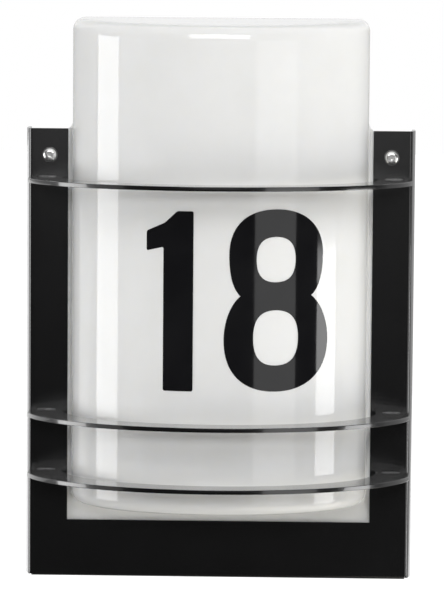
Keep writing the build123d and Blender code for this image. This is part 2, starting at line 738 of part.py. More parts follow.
holder_turning = turned_upright(
    [
        (0, 0),
        (HOLDER_RADIUS, 0),
        (HOLDER_RADIUS, HOLDER_BAND),
        (HOLDER_RADIUS - HOLDER_WAIST, HOLDER_BAND + HOLDER_WAIST),
        (HOLDER_RADIUS - HOLDER_WAIST, HOLDER_HEIGHT - HOLDER_BAND),
        (HOLDER_RADIUS, HOLDER_HEIGHT - HOLDER_BAND + HOLDER_WAIST),
        (HOLDER_RADIUS, HOLDER_HEIGHT - HOLDER_EDGE),
        (HOLDER_RADIUS - HOLDER_EDGE, HOLDER_HEIGHT),
        (SHELL_RADIUS, HOLDER_HEIGHT),
        (SHELL_RADIUS, HOLDER_FLOOR),
        (0, HOLDER_FLOOR),
    ],
    0,
    LAMP_OUT,
    HOLDER_RISE,
)
with BuildPart() as lampholder_body:
    add(holder_turning)
    with BuildSketch(level(HOLDER_RISE)):
        with Locations((0, -LAMP_OUT)):
            with GridLocations(0, HOLDER_SCREW_SPACING, 1, 2):
                Circle(SMALL_SCREW_RADIUS)
    extrude(amount=HOLDER_SCREW_DEPTH, mode=Mode.SUBTRACT)
    with BuildSketch(level(HOLDER_RISE)):
        with Locations((0, -LAMP_OUT)):
            with GridLocations(WIRE_HOLE_SPACING, 0, 2, 1):
                Circle(WIRE_HOLE_RADIUS)
    extrude(amount=WIRE_HOLE_DEPTH, mode=Mode.SUBTRACT)
finish(lampholder_body, "lampholder_body")

with BuildPart() as lampholder_screws:
    for side in LEFT_AND_RIGHT:
        add(
            turned_upright(
                [
                    (0, -SMALL_HEAD_HEIGHT),
                    (SMALL_HEAD_RADIUS, -SMALL_HEAD_HEIGHT),
                    (SMALL_HEAD_RADIUS, 0),
                    (SMALL_SCREW_RADIUS, 0),
                    (SMALL_SCREW_RADIUS, BRACKET_SHEET + HOLDER_SCREW_DEPTH),
                    (0, BRACKET_SHEET + HOLDER_SCREW_DEPTH),
                ],
                0,
                LAMP_OUT + side * HOLDER_SCREW_SPACING / 2,
                HOLDER_RISE - BRACKET_SHEET,
            )
        )
finish(lampholder_screws, "lampholder_screws")

with BuildPart() as lampholder_shell:
    with BuildSketch(level(HOLDER_RISE + HOLDER_FLOOR + SHELL_LIFT)):
        with Locations((0, -LAMP_OUT)):
            Circle(SHELL_RADIUS)
            Circle(SHELL_BORE_RADIUS, mode=Mode.SUBTRACT)
    extrude(amount=SHELL_HEIGHT)
finish(lampholder_shell, "lampholder_shell")

with BuildPart() as lampholder_contact:
    foot_x = CONTACT_LENGTH / 2
    crown_x = CONTACT_LENGTH / 6
    holder_floor = (0, -LAMP_OUT, up(HOLDER_RISE + HOLDER_FLOOR))
    with BuildSketch(Plane(holder_floor, x_dir=(1, 0, 0), z_dir=(0, -1, 0))):
        with BuildLine():
            Polyline(
                (-foot_x, 0),
                (-crown_x, CONTACT_HEIGHT),
                (crown_x, CONTACT_HEIGHT),
                (foot_x, 0),
                (foot_x - 2 * CONTACT_SHEET, 0),
                (crown_x, CONTACT_HEIGHT - CONTACT_SHEET),
                (-crown_x, CONTACT_HEIGHT - CONTACT_SHEET),
                (-foot_x + 2 * CONTACT_SHEET, 0),
                close=True,
            )
        make_face()
    extrude(amount=CONTACT_WIDTH / 2, both=True)
finish(lampholder_contact, "lampholder_contact")

# ---------------------------------------------------------------- lamp

lamp_contact_turning = [(0, 0), (TIP_RADIUS, 0), (TIP_RADIUS, TIP_HEIGHT), (0, TIP_HEIGHT)]
insulator_radius = CAP_RADIUS - CAP_TAPER
insulator_turning = [(0, 0), (insulator_radius, 0), (insulator_radius, INSULATOR_HEIGHT), (0, INSULATOR_HEIGHT)]
cap_turning = [
    (insulator_radius, 0),
    (CAP_RADIUS, CAP_TAPER),
    (CAP_RADIUS, CAP_HEIGHT),
    (CAP_RADIUS - CAP_WALL, CAP_HEIGHT),
    (CAP_RADIUS - CAP_WALL, CAP_TAPER),
    (insulator_radius, CAP_WALL),
]
lamp_body_turning = [
    (0, CAP_HEIGHT),
    (CAP_RADIUS, CAP_HEIGHT),
    (BOWL_RADIUS, BOWL_RISE - CAP_RISE),
    (0, BOWL_RISE - CAP_RISE),
]
for piece_name, turning, base_rise in (
    ("lamp_contact", lamp_contact_turning, LAMP_RISE),
    ("lamp_insulator", insulator_turning, CAP_RISE),
    ("lamp_cap", cap_turning, CAP_RISE),
    ("lamp_body", lamp_body_turning, CAP_RISE),
):
    with BuildPart() as lamp_piece:
        add(turned_upright(turning, 0, LAMP_OUT, base_rise))
    finish(lamp_piece, piece_name)

with BuildPart() as lamp_bowl:
    with BuildSketch(Plane((0, -LAMP_OUT, up(BOWL_RISE)), x_dir=(1, 0, 0), z_dir=(0, -1, 0))):
        with BuildLine():
            inner_radius = BOWL_RADIUS - BOWL_WALL
            Polyline((0, BOWL_SKIRT + inner_radius), (0, BOWL_SKIRT + BOWL_RADIUS))
            CenterArc((0, BOWL_SKIRT), BOWL_RADIUS, 0, 90)
            Polyline((BOWL_RADIUS, BOWL_SKIRT), (BOWL_RADIUS, 0), (inner_radius, 0), (inner_radius, BOWL_SKIRT))
            CenterArc((0, BOWL_SKIRT), inner_radius, 0, 90)
        make_face()
    revolve(axis=Axis((0, -LAMP_OUT, 0), (0, 0, 1)))
finish(lamp_bowl, "lamp_bowl")

with BuildPart() as led_board:
    with BuildSketch(level(BOWL_RISE)):
        with Locations((0, -LAMP_OUT)):
            Circle(BOARD_RADIUS)
    extrude(amount=BOARD_THICKNESS)
    with BuildSketch(level(BOWL_RISE + BOARD_THICKNESS)):
        with Locations((0, -LAMP_OUT)):
            with PolarLocations(CHIP_RING_RADIUS, CHIP_COUNT):
                Rectangle(CHIP_SIZE, CHIP_SIZE)
    extrude(amount=CHIP_HEIGHT)
finish(led_board, "led_board")

# ---------------------------------------------------------------- terminals, earth and cable entry

TERMINAL_SCREW_PLACES = [
    (x, up(TERMINAL_RISE + side * TERMINAL_SCREW_SPACING / 2)) for x in POLE_XS for side in LEFT_AND_RIGHT
]
terminal_width = POLE_COUNT * POLE_SPACING + 2 * TERMINAL_MARGIN
fixing_x = TERMINAL_X + POLE_SPACING / 2

with BuildPart() as terminal_block:
    with BuildSketch(facing(BASE_FLOOR)):
        with Locations((TERMINAL_X, up(TERMINAL_RISE))):
            RectangleRounded(terminal_width, TERMINAL_HEIGHT, TERMINAL_CORNER)
    extrude(amount=TERMINAL_DEPTH)
    with BuildSketch(level(TERMINAL_TOP_RISE)):
        with Locations(*[(x, -LEAD_OUT) for x in POLE_XS]):
            Rectangle(INSERT_WIDTH, INSERT_WIDTH)
    extrude(amount=-TERMINAL_HEIGHT, mode=Mode.SUBTRACT)
    with BuildSketch(facing(LEAD_OUT)):
        with Locations(*TERMINAL_SCREW_PLACES):
            Circle(TERMINAL_SCREW_RADIUS)
    extrude(amount=TERMINAL_DEPTH, mode=Mode.SUBTRACT)
    with BuildSketch(facing(BASE_FLOOR)):
        with Locations((fixing_x, up(TERMINAL_RISE))):
            Circle(TERMINAL_SCREW_RADIUS)
    extrude(amount=TERMINAL_DEPTH, mode=Mode.SUBTRACT)
    with BuildSketch(facing(TERMINAL_FRONT_OUT)):
        with Locations((fixing_x, up(TERMINAL_RISE))):
            Circle(FIXING_HEAD_RADIUS)
    extrude(amount=-FIXING_HEAD_HEIGHT - FIXING_HEAD_INSET, mode=Mode.SUBTRACT)
finish(terminal_block, "terminal_block")

with BuildPart() as terminal_inserts:
    with BuildSketch(level(TERMINAL_TOP_RISE - TERMINAL_MARGIN)):
        with Locations(*[(x, -LEAD_OUT) for x in POLE_XS]):
            Rectangle(INSERT_WIDTH, INSERT_WIDTH)
            Circle(INSERT_BORE_RADIUS, mode=Mode.SUBTRACT)
    extrude(amount=-TERMINAL_HEIGHT + 2 * TERMINAL_MARGIN)
    with BuildSketch(facing(LEAD_OUT)):
        with Locations(*TERMINAL_SCREW_PLACES):
            Circle(TERMINAL_SCREW_RADIUS)
    extrude(amount=TERMINAL_DEPTH, mode=Mode.SUBTRACT)
finish(terminal_inserts, "terminal_inserts")

with BuildPart() as terminal_screws:
    with BuildSketch(facing(LEAD_OUT + LEAD_RADIUS)):
        with Locations(*TERMINAL_SCREW_PLACES):
            Circle(TERMINAL_SCREW_RADIUS)
    extrude(amount=TERMINAL_FRONT_OUT - TERMINAL_SCREW_INSET - LEAD_OUT - LEAD_RADIUS)
finish(terminal_screws, "terminal_screws")

with BuildPart() as terminal_fixing_screw:
    add(
        headed_screw(
            RIVET_INSET,
            TERMINAL_FRONT_OUT - FIXING_HEAD_HEIGHT - FIXING_HEAD_INSET,
            TERMINAL_SCREW_RADIUS,
            (FIXING_HEAD_RADIUS, FIXING_HEAD_HEIGHT),
            fixing_x,
            TERMINAL_RISE,
        )
    )
finish(terminal_fixing_screw, "terminal_fixing_screw")

with BuildPart() as earth_stud:
    with BuildSketch(facing(RIVET_INSET)):
        with Locations((EARTH_X, up(EARTH_RISE))):
            Circle(SMALL_SCREW_RADIUS)
    extrude(amount=BASE_FLOOR + EARTH_STUD_LENGTH - RIVET_INSET)
finish(earth_stud, "earth_stud")

with BuildPart() as earth_lug:
    with BuildSketch(facing(BASE_FLOOR)):
        with Locations((EARTH_X, up(EARTH_RISE))):
            Circle(LUG_RADIUS)
        upright_rectangle(LUG_TONGUE, BARREL_RISE, EARTH_RISE, EARTH_X)
        with Locations((EARTH_X, up(EARTH_RISE))):
            Circle(SMALL_SCREW_RADIUS, mode=Mode.SUBTRACT)
    extrude(amount=LUG_SHEET)
    with BuildSketch(level(BARREL_RISE)):
        with Locations((EARTH_X, -BASE_FLOOR - BARREL_RADIUS)):
            Circle(BARREL_RADIUS)
    extrude(amount=BARREL_LENGTH)
    with BuildSketch(level(BARREL_RISE)):
        with Locations((EARTH_X, -BASE_FLOOR - BARREL_RADIUS)):
            Circle(LEAD_RADIUS)
    extrude(amount=BARREL_LENGTH, mode=Mode.SUBTRACT)
finish(earth_lug, "earth_lug")

with BuildPart() as earth_nut:
    with BuildSketch(facing(BASE_FLOOR + LUG_SHEET)):
        with Locations((EARTH_X, up(EARTH_RISE))):
            RegularPolygon(NUT_RADIUS, 6)
            Circle(SMALL_SCREW_RADIUS, mode=Mode.SUBTRACT)
    extrude(amount=NUT_HEIGHT)
finish(earth_nut, "earth_nut")

earth_x, live_x, neutral_x = POLE_XS
barrel_out = BASE_FLOOR + BARREL_RADIUS
for lead_name, pole_x, end_x, end_out, end_rise in (
    ("earth_lead", earth_x, EARTH_X, barrel_out, BARREL_RISE + LEAD_ENTRY),
    ("live_lead", live_x, -WIRE_HOLE_SPACING / 2, LAMP_OUT, HOLDER_RISE + LEAD_ENTRY),
    ("neutral_lead", neutral_x, WIRE_HOLE_SPACING / 2, LAMP_OUT, HOLDER_RISE + LEAD_ENTRY),
):
    with BuildPart() as lead_piece:
        add(
            lead(
                [
                    (pole_x, LEAD_OUT, TERMINAL_TOP_RISE - LEAD_GRIP),
                    (pole_x, LEAD_OUT, TERMINAL_TOP_RISE + LEAD_RUN - LEAD_ENTRY),
                    (end_x, end_out, end_rise - LEAD_RUN - LEAD_ENTRY),
                    (end_x, end_out, end_rise),
                ]
            )
        )
    finish(lead_piece, lead_name)

with BuildPart() as cable_grommet:
    add(
        turned_outward(
            [
                (CABLE_RADIUS, GROMMET_RECESS),
                (GROMMET_FLANGE_RADIUS, GROMMET_RECESS),
                (GROMMET_FLANGE_RADIUS, GROMMET_RECESS + GROMMET_FLANGE),
                (GROMMET_NECK_RADIUS, GROMMET_RECESS + GROMMET_FLANGE),
                (GROMMET_NECK_RADIUS, BASE_FLOOR),
                (GROMMET_FLANGE_RADIUS, BASE_FLOOR),
                (GROMMET_FLANGE_RADIUS, BASE_FLOOR + GROMMET_FLANGE),
                (NOZZLE_RADIUS, BASE_FLOOR + GROMMET_FLANGE),
                (NOZZLE_TIP_RADIUS, BASE_FLOOR + GROMMET_FLANGE + NOZZLE_LENGTH),
                (CABLE_RADIUS, BASE_FLOOR + GROMMET_FLANGE + NOZZLE_LENGTH),
            ],
            CABLE_X,
            CABLE_RISE,
        )
    )
finish(cable_grommet, "cable_grommet")
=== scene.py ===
"""Looks of the illuminated house number sign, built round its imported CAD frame.

The smooth opal diffuser, the bowed fins with their welds, the folded cover and the film numerals are new
meshes, and every fitting that the CAD model already has gets its own finish. Sizes are millimetres in the
CAD frame: the wall is the plane Y = 0, the sign stands out from it towards -Y, +Z is up, and the origin is
the centre of the wall slots. A mesh becomes metres when it is finished.
"""
from __future__ import annotations

import json
import logging
import math
from dataclasses import dataclass, field
from enum import Enum
from typing import Sequence

import bmesh
import bpy
from bmesh.types import BMEdge, BMesh, BMFace, BMVert
from mathutils import Matrix, Vector

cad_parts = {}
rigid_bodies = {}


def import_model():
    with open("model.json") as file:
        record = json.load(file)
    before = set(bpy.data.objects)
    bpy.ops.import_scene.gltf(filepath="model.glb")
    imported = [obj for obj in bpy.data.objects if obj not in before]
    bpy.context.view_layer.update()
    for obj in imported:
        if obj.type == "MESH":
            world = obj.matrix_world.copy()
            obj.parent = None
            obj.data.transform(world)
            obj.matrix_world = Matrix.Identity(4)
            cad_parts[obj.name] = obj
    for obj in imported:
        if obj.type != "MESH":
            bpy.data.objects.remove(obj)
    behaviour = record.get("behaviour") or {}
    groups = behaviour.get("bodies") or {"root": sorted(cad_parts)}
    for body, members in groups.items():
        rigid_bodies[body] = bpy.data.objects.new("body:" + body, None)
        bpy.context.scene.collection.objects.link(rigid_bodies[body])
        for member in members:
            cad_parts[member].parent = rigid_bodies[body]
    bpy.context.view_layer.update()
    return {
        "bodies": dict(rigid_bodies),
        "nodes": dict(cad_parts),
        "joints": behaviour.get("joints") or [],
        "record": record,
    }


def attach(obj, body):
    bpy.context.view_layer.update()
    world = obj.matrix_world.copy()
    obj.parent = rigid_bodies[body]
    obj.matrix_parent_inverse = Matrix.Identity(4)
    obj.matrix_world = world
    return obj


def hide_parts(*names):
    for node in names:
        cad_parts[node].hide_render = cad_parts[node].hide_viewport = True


LOG = logging.getLogger("house_number_sign")
MILLIMETRE = 0.001
SIDES = (-1.0, 1.0)

# Sizes that several pieces share: the cover's face, the fins with their tabs, and the diffuser's ellipse
FACE_OUT = 24.0
FIN_TOPS = (86.5, -74.0, -115.5)
FIN_THICKNESS = 3.0
TAB_X = 118.625
TAB_LENGTH = 12.0
DIFFUSER_HALF_WIDTH = 101.0
DIFFUSER_REACH = 67.0

# Tolerances: vertices nearer than MERGED become one, and places nearer than HAIR or TOUCH count as the same
MERGED = 0.002
HAIR = 0.001
TOUCH = 0.01

# Noise patterns lie mostly between these two values
NOISE_LOW = 0.3
NOISE_HIGH = 0.7
NOISE_DETAIL = 3.0
WHITE = (1.0, 1.0, 1.0, 1.0)

Colour = tuple[float, float, float]
Point = tuple[float, float, float]
Flat = tuple[float, float]
Knot = tuple[Flat, Flat, Flat]


class Body(Enum):
    """CAD bodies that the new pieces ride on."""

    COVER = "cover"


class Slot(Enum):
    """Material slots of the record."""

    BLACK_PAINT = "black_paint"
    OPAL_ACRYLIC = "opal_acrylic"
    WHITE_CASTING = "white_casting"
    STAINLESS_STEEL = "stainless_steel"
    POLISHED_STEEL = "polished_steel"
    BRASS = "brass"
    NICKEL_BRASS = "nickel_brass"
    BLACK_RUBBER = "black_rubber"
    GREY_RUBBER = "grey_rubber"
    PORCELAIN = "porcelain"
    TERMINAL_PLASTIC = "terminal_plastic"
    LAMP_PLASTIC = "lamp_plastic"
    LAMP_OPAL = "lamp_opal"
    LAMP_METAL = "lamp_metal"
    INSULATOR_BLACK = "insulator_black"
    BOARD_WHITE = "board_white"
    EARTH_SLEEVE = "earth_sleeve"
    LIVE_SLEEVE = "live_sleeve"
    NEUTRAL_SLEEVE = "neutral_sleeve"


# ---------------------------------------------------------------- finishes


class Shader:
    """Node tree of one material, with helpers that make and link its nodes."""

    def __init__(self, name: str) -> None:
        """Start a material that has only its surface shader.

        Args:
            name: name of the material.
        """
        self.material = bpy.data.materials.new(name)
        self.material.use_nodes = True
        self.tree = self.material.node_tree
        self.surface = self.tree.nodes["Principled BSDF"]

    def add(self, kind: str, **inputs: object) -> bpy.types.Node:
        """Make a node and set its inputs.

        Args:
            kind: type name of the node.
            inputs: values for the sockets, with spaces written as underscores.

        Returns:
            The new node.
        """
        node = self.tree.nodes.new(kind)
        for socket, value in inputs.items():
            node.inputs[socket.replace("_", " ")].default_value = value
        return node

    def link(self, source: bpy.types.NodeSocket, target: bpy.types.NodeSocket) -> None:
        """Join an output to an input."""
        self.tree.links.new(source, target)

    def noise(self, scale: float, stretch: Point = (1.0, 1.0, 1.0)) -> bpy.types.NodeSocket:
        """Make a noise pattern that is fixed to the piece.

        Args:
            scale: repeats for each metre.
            stretch: factors along X, Y and Z.

        Returns:
            The noise's value output.
        """
        place = self.add("ShaderNodeTexCoord")
        mapping = self.add("ShaderNodeMapping", Scale=stretch)
        noise = self.add("ShaderNodeTexNoise", Scale=scale, Detail=NOISE_DETAIL)
        self.link(place.outputs["Object"], mapping.inputs["Vector"])
        self.link(mapping.outputs["Vector"], noise.inputs["Vector"])
        return noise.outputs["Fac"]

    def tint(self, pattern: bpy.types.NodeSocket, low: Colour, high: Colour) -> None:
        """Spread the base colour between two tones of a pattern."""
        ramp = self.add("ShaderNodeValToRGB")
        for stop, position, colour in zip(ramp.color_ramp.elements, (NOISE_LOW, NOISE_HIGH), (low, high)):
            stop.position = position
            stop.color = (*colour, 1.0)
        self.link(pattern, ramp.inputs["Fac"])
        self.link(ramp.outputs["Color"], self.surface.inputs["Base Color"])

    def dull(self, pattern: bpy.types.NodeSocket, low: float, high: float) -> None:
        """Spread the roughness between two values of a pattern."""
        spread = self.add(
            "ShaderNodeMapRange", From_Min=NOISE_LOW, From_Max=NOISE_HIGH, To_Min=low, To_Max=high
        )
        self.link(pattern, spread.inputs["Value"])
        self.link(spread.outputs["Result"], self.surface.inputs["Roughness"])

    def emboss(self, pattern: bpy.types.NodeSocket, height: float) -> None:
        """Raise the surface by a pattern, height in millimetres."""
        bump = self.add("ShaderNodeBump", Strength=1.0, Distance=height * MILLIMETRE)
        self.link(pattern, bump.inputs["Height"])
        self.link(bump.outputs["Normal"], self.surface.inputs["Normal"])


@dataclass(frozen=True)
class Finish:
    """Even finish with a fine grain: two close tones, two close roughnesses and a slight relief."""

    name: str
    low: Colour
    high: Colour
    smoothest: float
    roughest: float
    grain: float
    relief: float
    metallic: float = 0.0
    reflection: float = 1.5
    blotch: float = 40.0
    stretch: Point = (1.0, 1.0, 1.0)

    def dress(self, shader: Shader) -> None:
        """Add the patterns to a new shader."""
        surface = shader.surface
        surface.inputs["Metallic"].default_value = self.metallic
        surface.inputs["IOR"].default_value = self.reflection
        blotches = shader.noise(self.blotch)
        shader.tint(blotches, self.low, self.high)
        grain = shader.noise(self.grain, self.stretch)
        shader.dull(grain, self.smoothest, self.roughest)
        shader.emboss(grain, self.relief)

    def material(self) -> bpy.types.Material:
        """Build the material."""
        shader = Shader(self.name)
        self.dress(shader)
        return shader.material


@dataclass(frozen=True)
class OpalFinish(Finish):
    """Glossy opal moulding: light enters a little way, and the skin is very slightly wavy."""

    depth: float = 4.0
    share: float = 0.3

    def dress(self, shader: Shader) -> None:
        """Add the depth of the opal to the even finish."""
        super().dress(shader)
        surface = shader.surface
        surface.inputs["Subsurface Weight"].default_value = self.share
        surface.inputs["Subsurface Radius"].default_value = (1.0, 0.95, 0.85)
        surface.inputs["Subsurface Scale"].default_value = self.depth * MILLIMETRE


@dataclass(frozen=True)
class CoatedFinish(Finish):
    """Paint under its own clear skin."""

    coat: float = 0.5
    coat_roughness: float = 0.1

    def dress(self, shader: Shader) -> None:
        """Add the clear skin to the even finish."""
        super().dress(shader)
        shader.surface.inputs["Coat Weight"].default_value = self.coat
        shader.surface.inputs["Coat Roughness"].default_value = self.coat_roughness


@dataclass(frozen=True)
class StripedFinish(Finish):
    """Two-coloured cable sleeve, with its second colour in slanting bands."""

    band: Colour = (0.9, 0.75, 0.05)
    band_start: float = 0.5
    bands: float = 140.0

    def dress(self, shader: Shader) -> None:
        """Swap the tint of the even finish for slanting bands."""
        super().dress(shader)
        place = shader.add("ShaderNodeTexCoord")
        wave = shader.add("ShaderNodeTexWave", Scale=self.bands)
        wave.bands_direction = "DIAGONAL"
        ramp = shader.add("ShaderNodeValToRGB")
        ramp.color_ramp.interpolation = "CONSTANT"
        ramp.color_ramp.elements[0].color = (*self.low, 1.0)
        ramp.color_ramp.elements[1].position = self.band_start
        ramp.color_ramp.elements[1].color = (*self.band, 1.0)
        shader.link(place.outputs["Object"], wave.inputs["Vector"])
        shader.link(wave.outputs["Fac"], ramp.inputs["Fac"])
        shader.link(ramp.outputs["Color"], shader.surface.inputs["Base Color"])


FINISHES: dict[Slot, Finish] = {
    Slot.BLACK_PAINT: CoatedFinish(
        "black_gloss_paint", (0.0032, 0.0032, 0.0034), (0.0042, 0.0042, 0.0045), 0.18, 0.24, 1400.0, 0.002,
        reflection=1.55, coat=1.0, coat_roughness=0.06,
    ),
    Slot.OPAL_ACRYLIC: OpalFinish(
        "opal_acrylic", (0.875, 0.875, 0.86), (0.895, 0.895, 0.885), 0.05, 0.07, 25.0, 0.02, reflection=1.49
    ),
    Slot.WHITE_CASTING: Finish(
        "white_painted_casting", (0.735, 0.735, 0.715), (0.755, 0.755, 0.735), 0.42, 0.55, 900.0, 0.03
    ),
    Slot.STAINLESS_STEEL: Finish(
        "stainless_steel", (0.50, 0.50, 0.49), (0.62, 0.62, 0.61), 0.22, 0.36, 500.0, 0.004, metallic=1.0,
        stretch=(1.0, 6.0, 1.0),
    ),
    Slot.POLISHED_STEEL: Finish(
        "polished_steel", (0.86, 0.86, 0.85), (0.93, 0.93, 0.92), 0.20, 0.28, 800.0, 0.003, metallic=1.0
    ),
    Slot.BRASS: Finish(
        "brass", (0.62, 0.42, 0.16), (0.78, 0.56, 0.25), 0.22, 0.34, 700.0, 0.004, metallic=1.0
    ),
    Slot.NICKEL_BRASS: Finish(
        "nickel_plated_brass", (0.58, 0.55, 0.49), (0.68, 0.65, 0.59), 0.16, 0.28, 700.0, 0.003,
        metallic=1.0,
    ),
    Slot.BLACK_RUBBER: Finish(
        "black_rubber", (0.018, 0.018, 0.018), (0.032, 0.032, 0.032), 0.55, 0.75, 1200.0, 0.03, blotch=90.0
    ),
    Slot.GREY_RUBBER: Finish(
        "grey_sponge_rubber", (0.12, 0.12, 0.12), (0.19, 0.19, 0.19), 0.7, 0.9, 1500.0, 0.12, blotch=300.0
    ),
    Slot.PORCELAIN: CoatedFinish(
        "glazed_porcelain", (0.74, 0.73, 0.69), (0.82, 0.81, 0.78), 0.25, 0.4, 150.0, 0.03, coat=1.0
    ),
    Slot.TERMINAL_PLASTIC: Finish(
        "terminal_plastic", (0.62, 0.62, 0.58), (0.70, 0.70, 0.66), 0.38, 0.5, 1100.0, 0.015
    ),
    Slot.LAMP_PLASTIC: Finish(
        "lamp_body_plastic", (0.76, 0.76, 0.75), (0.82, 0.82, 0.81), 0.3, 0.42, 900.0, 0.01
    ),
    Slot.LAMP_OPAL: OpalFinish(
        "lamp_opal", (0.82, 0.82, 0.80), (0.87, 0.87, 0.85), 0.32, 0.42, 300.0, 0.01, depth=2.0
    ),
    Slot.LAMP_METAL: Finish(
        "lamp_cap_metal", (0.60, 0.58, 0.55), (0.72, 0.70, 0.67), 0.2, 0.32, 500.0, 0.004, metallic=1.0
    ),
    Slot.INSULATOR_BLACK: Finish(
        "black_glass", (0.01, 0.01, 0.012), (0.02, 0.02, 0.024), 0.1, 0.2, 600.0, 0.01
    ),
    Slot.BOARD_WHITE: Finish(
        "white_board", (0.74, 0.75, 0.73), (0.80, 0.81, 0.79), 0.35, 0.5, 800.0, 0.01
    ),
    Slot.EARTH_SLEEVE: StripedFinish(
        "earth_sleeve", (0.03, 0.25, 0.04), (0.04, 0.30, 0.05), 0.3, 0.42, 900.0, 0.01
    ),
    Slot.LIVE_SLEEVE: Finish(
        "live_sleeve", (0.10, 0.035, 0.015), (0.14, 0.05, 0.02), 0.3, 0.42, 900.0, 0.01
    ),
    Slot.NEUTRAL_SLEEVE: Finish(
        "neutral_sleeve", (0.015, 0.07, 0.30), (0.02, 0.09, 0.36), 0.3, 0.42, 900.0, 0.01
    ),
}
# Weld beads: a grey metallic tone, much lighter than the black paint of the fins and strips, so each bead
# shows a light streak. This is a painted highlight: the beads are painted black like the rest of the cover.
WELD_PAINTED_HIGHLIGHT = Finish(
    "weld_painted_highlight", (0.08, 0.08, 0.08), (0.16, 0.16, 0.16), 0.26, 0.36, 900.0, 0.02, metallic=0.7,
    blotch=300.0,
)
WASHER = Finish(
    "satin_washer", (0.10, 0.10, 0.10), (0.15, 0.15, 0.15), 0.36, 0.46, 900.0, 0.004, metallic=1.0
)
FILM = Finish("black_film", (0.006, 0.006, 0.007), (0.009, 0.009, 0.010), 0.05, 0.08, 60.0, 0.01)


# ---------------------------------------------------------------- mesh work


class Path:
    """Chain of edges drawn from a start point by straight runs and round turns."""

    def __init__(self, mesh: BMesh, start: Point) -> None:
        """Put down the first vertex.

        Args:
            mesh: mesh that gets the chain.
            start: place of the first vertex.
        """
        self.mesh = mesh
        self.head: BMVert = mesh.verts.new(start)

    def run(self, *points: Point) -> Path:
        """Draw straight runs to the points, one after the other."""
        for point in points:
            self.head = bmesh.ops.extrude_vert_indiv(self.mesh, verts=[self.head])["verts"][0]
            self.head.co = point
        return self

    def turn(self, centre: Point, axis: Point, angle: float, steps: int) -> Path:
        """Draw an arc about an axis.

        Args:
            centre: point on the axis.
            axis: direction of the axis.
            angle: angle of the arc, in degrees.
            steps: number of edges.

        Returns:
            The path itself.
        """
        made = sweep(self.mesh, [self.head], centre, axis, angle, steps)
        self.head = next(item for item in made if isinstance(item, BMVert))
        return self


def sweep(
    mesh: BMesh, geom: Sequence[BMVert | BMEdge], centre: Point, axis: Point, angle: float, steps: int
) -> list[BMVert | BMEdge | BMFace]:
    """Sweep vertices and edges about an axis.

    Args:
        mesh: mesh that holds them.
        geom: vertices and edges to sweep.
        centre: point on the axis.
        axis: direction of the axis.
        angle: angle of the sweep, in degrees.
        steps: number of steps.

    Returns:
        What lies at the far end.
    """
    return bmesh.ops.spin(
        mesh,
        geom=list(geom),
        cent=centre,
        axis=axis,
        dvec=(0.0, 0.0, 0.0),
        angle=math.radians(angle),
        steps=steps,
        use_merge=False,
        use_normal_flip=False,
        use_duplicate=False,
    )["geom_last"]


def ends_of(edges: Sequence[BMEdge]) -> list[BMVert]:
    """Vertices at the ends of edges, each once."""
    return list(dict.fromkeys(vert for edge in edges for vert in edge.verts))


def edges_at(verts: Sequence[BMVert]) -> list[BMEdge]:
    """Edges that meet at vertices, each once."""
    return list(dict.fromkeys(edge for vert in verts for edge in vert.link_edges))


def draw_out(mesh: BMesh, edges: Sequence[BMEdge], step: Point) -> list[BMEdge]:
    """Extrude edges by a step.

    Args:
        mesh: mesh that holds the edges.
        edges: edges to draw out.
        step: shift of the new edges.

    Returns:
        The edges at the far end.
    """
    made = bmesh.ops.extrude_edge_only(mesh, edges=edges)["geom"]
    far = [item for item in made if isinstance(item, BMVert)]
    bmesh.ops.translate(mesh, vec=step, verts=far)
    ends = set(far)
    return [item for item in made if isinstance(item, BMEdge) and all(vert in ends for vert in item.verts)]


def thicken(mesh: BMesh, faces: Sequence[BMFace], step: Point) -> list[BMFace]:
    """Turn flat faces into a block by extruding them.

    Args:
        mesh: mesh that holds the faces.
        faces: faces to extrude.
        step: shift of the far side.

    Returns:
        The faces of the far side.
    """
    made = bmesh.ops.extrude_face_region(mesh, geom=list(faces))["geom"]
    far = [item for item in made if isinstance(item, BMVert)]
    bmesh.ops.translate(mesh, vec=step, verts=far)
    bmesh.ops.recalc_face_normals(mesh, faces=mesh.faces)
    return [item for item in made if isinstance(item, BMFace)]


def slice_at(mesh: BMesh, point: Point, normal: Point, clear: bool = False) -> None:
    """Cut all faces along a plane, and drop what lies beyond it if clear is true."""
    bmesh.ops.bisect_plane(
        mesh,
        geom=mesh.verts[:] + mesh.edges[:] + mesh.faces[:],
        plane_co=point,
        plane_no=normal,
        clear_outer=clear,
    )


def soften(mesh: BMesh, edges: Sequence[BMEdge], radius: float, segments: int) -> None:
    """Round edges off.

    Args:
        mesh: mesh that holds the edges.
        edges: edges to round.
        radius: width of the rounding, in millimetres.
        segments: number of faces across it.
    """
    bmesh.ops.bevel(
        mesh,
        geom=list(edges),
        affect="EDGES",
        offset_type="OFFSET",
        offset=radius,
        segments=segments,
        profile=0.5,
        material=-1,
        clamp_overlap=True,
    )


def sharp_edges(mesh: BMesh, angle: float) -> list[BMEdge]:
    """Edges whose two faces meet at more than an angle in degrees."""
    limit = math.radians(angle)
    return [edge for edge in mesh.edges if len(edge.link_faces) == 2 and edge.calc_face_angle(0.0) > limit]


def add_block(mesh: BMesh, low: Point, high: Point) -> list[BMVert]:
    """Add a box between two corners and return its vertices."""
    centre = [(first + last) / 2 for first, last in zip(low, high)]
    size = [last - first for first, last in zip(low, high)]
    place = Matrix.Translation(centre) @ Matrix.Diagonal((*size, 1.0))
    return bmesh.ops.create_cube(mesh, size=1.0, matrix=place)["verts"]


def add_pin(
    mesh: BMesh, centre: Point, axis: Point, radius: float, length: float, segments: int = 48
) -> None:
    """Add a cylinder with its middle at centre, along axis."""
    turn = Vector(axis).to_track_quat("Z", "Y").to_matrix().to_4x4()
    bmesh.ops.create_cone(
        mesh,
        cap_ends=True,
        cap_tris=False,
        segments=segments,
        radius1=radius,
        radius2=radius,
        depth=length,
        matrix=Matrix.Translation(centre) @ turn,
    )


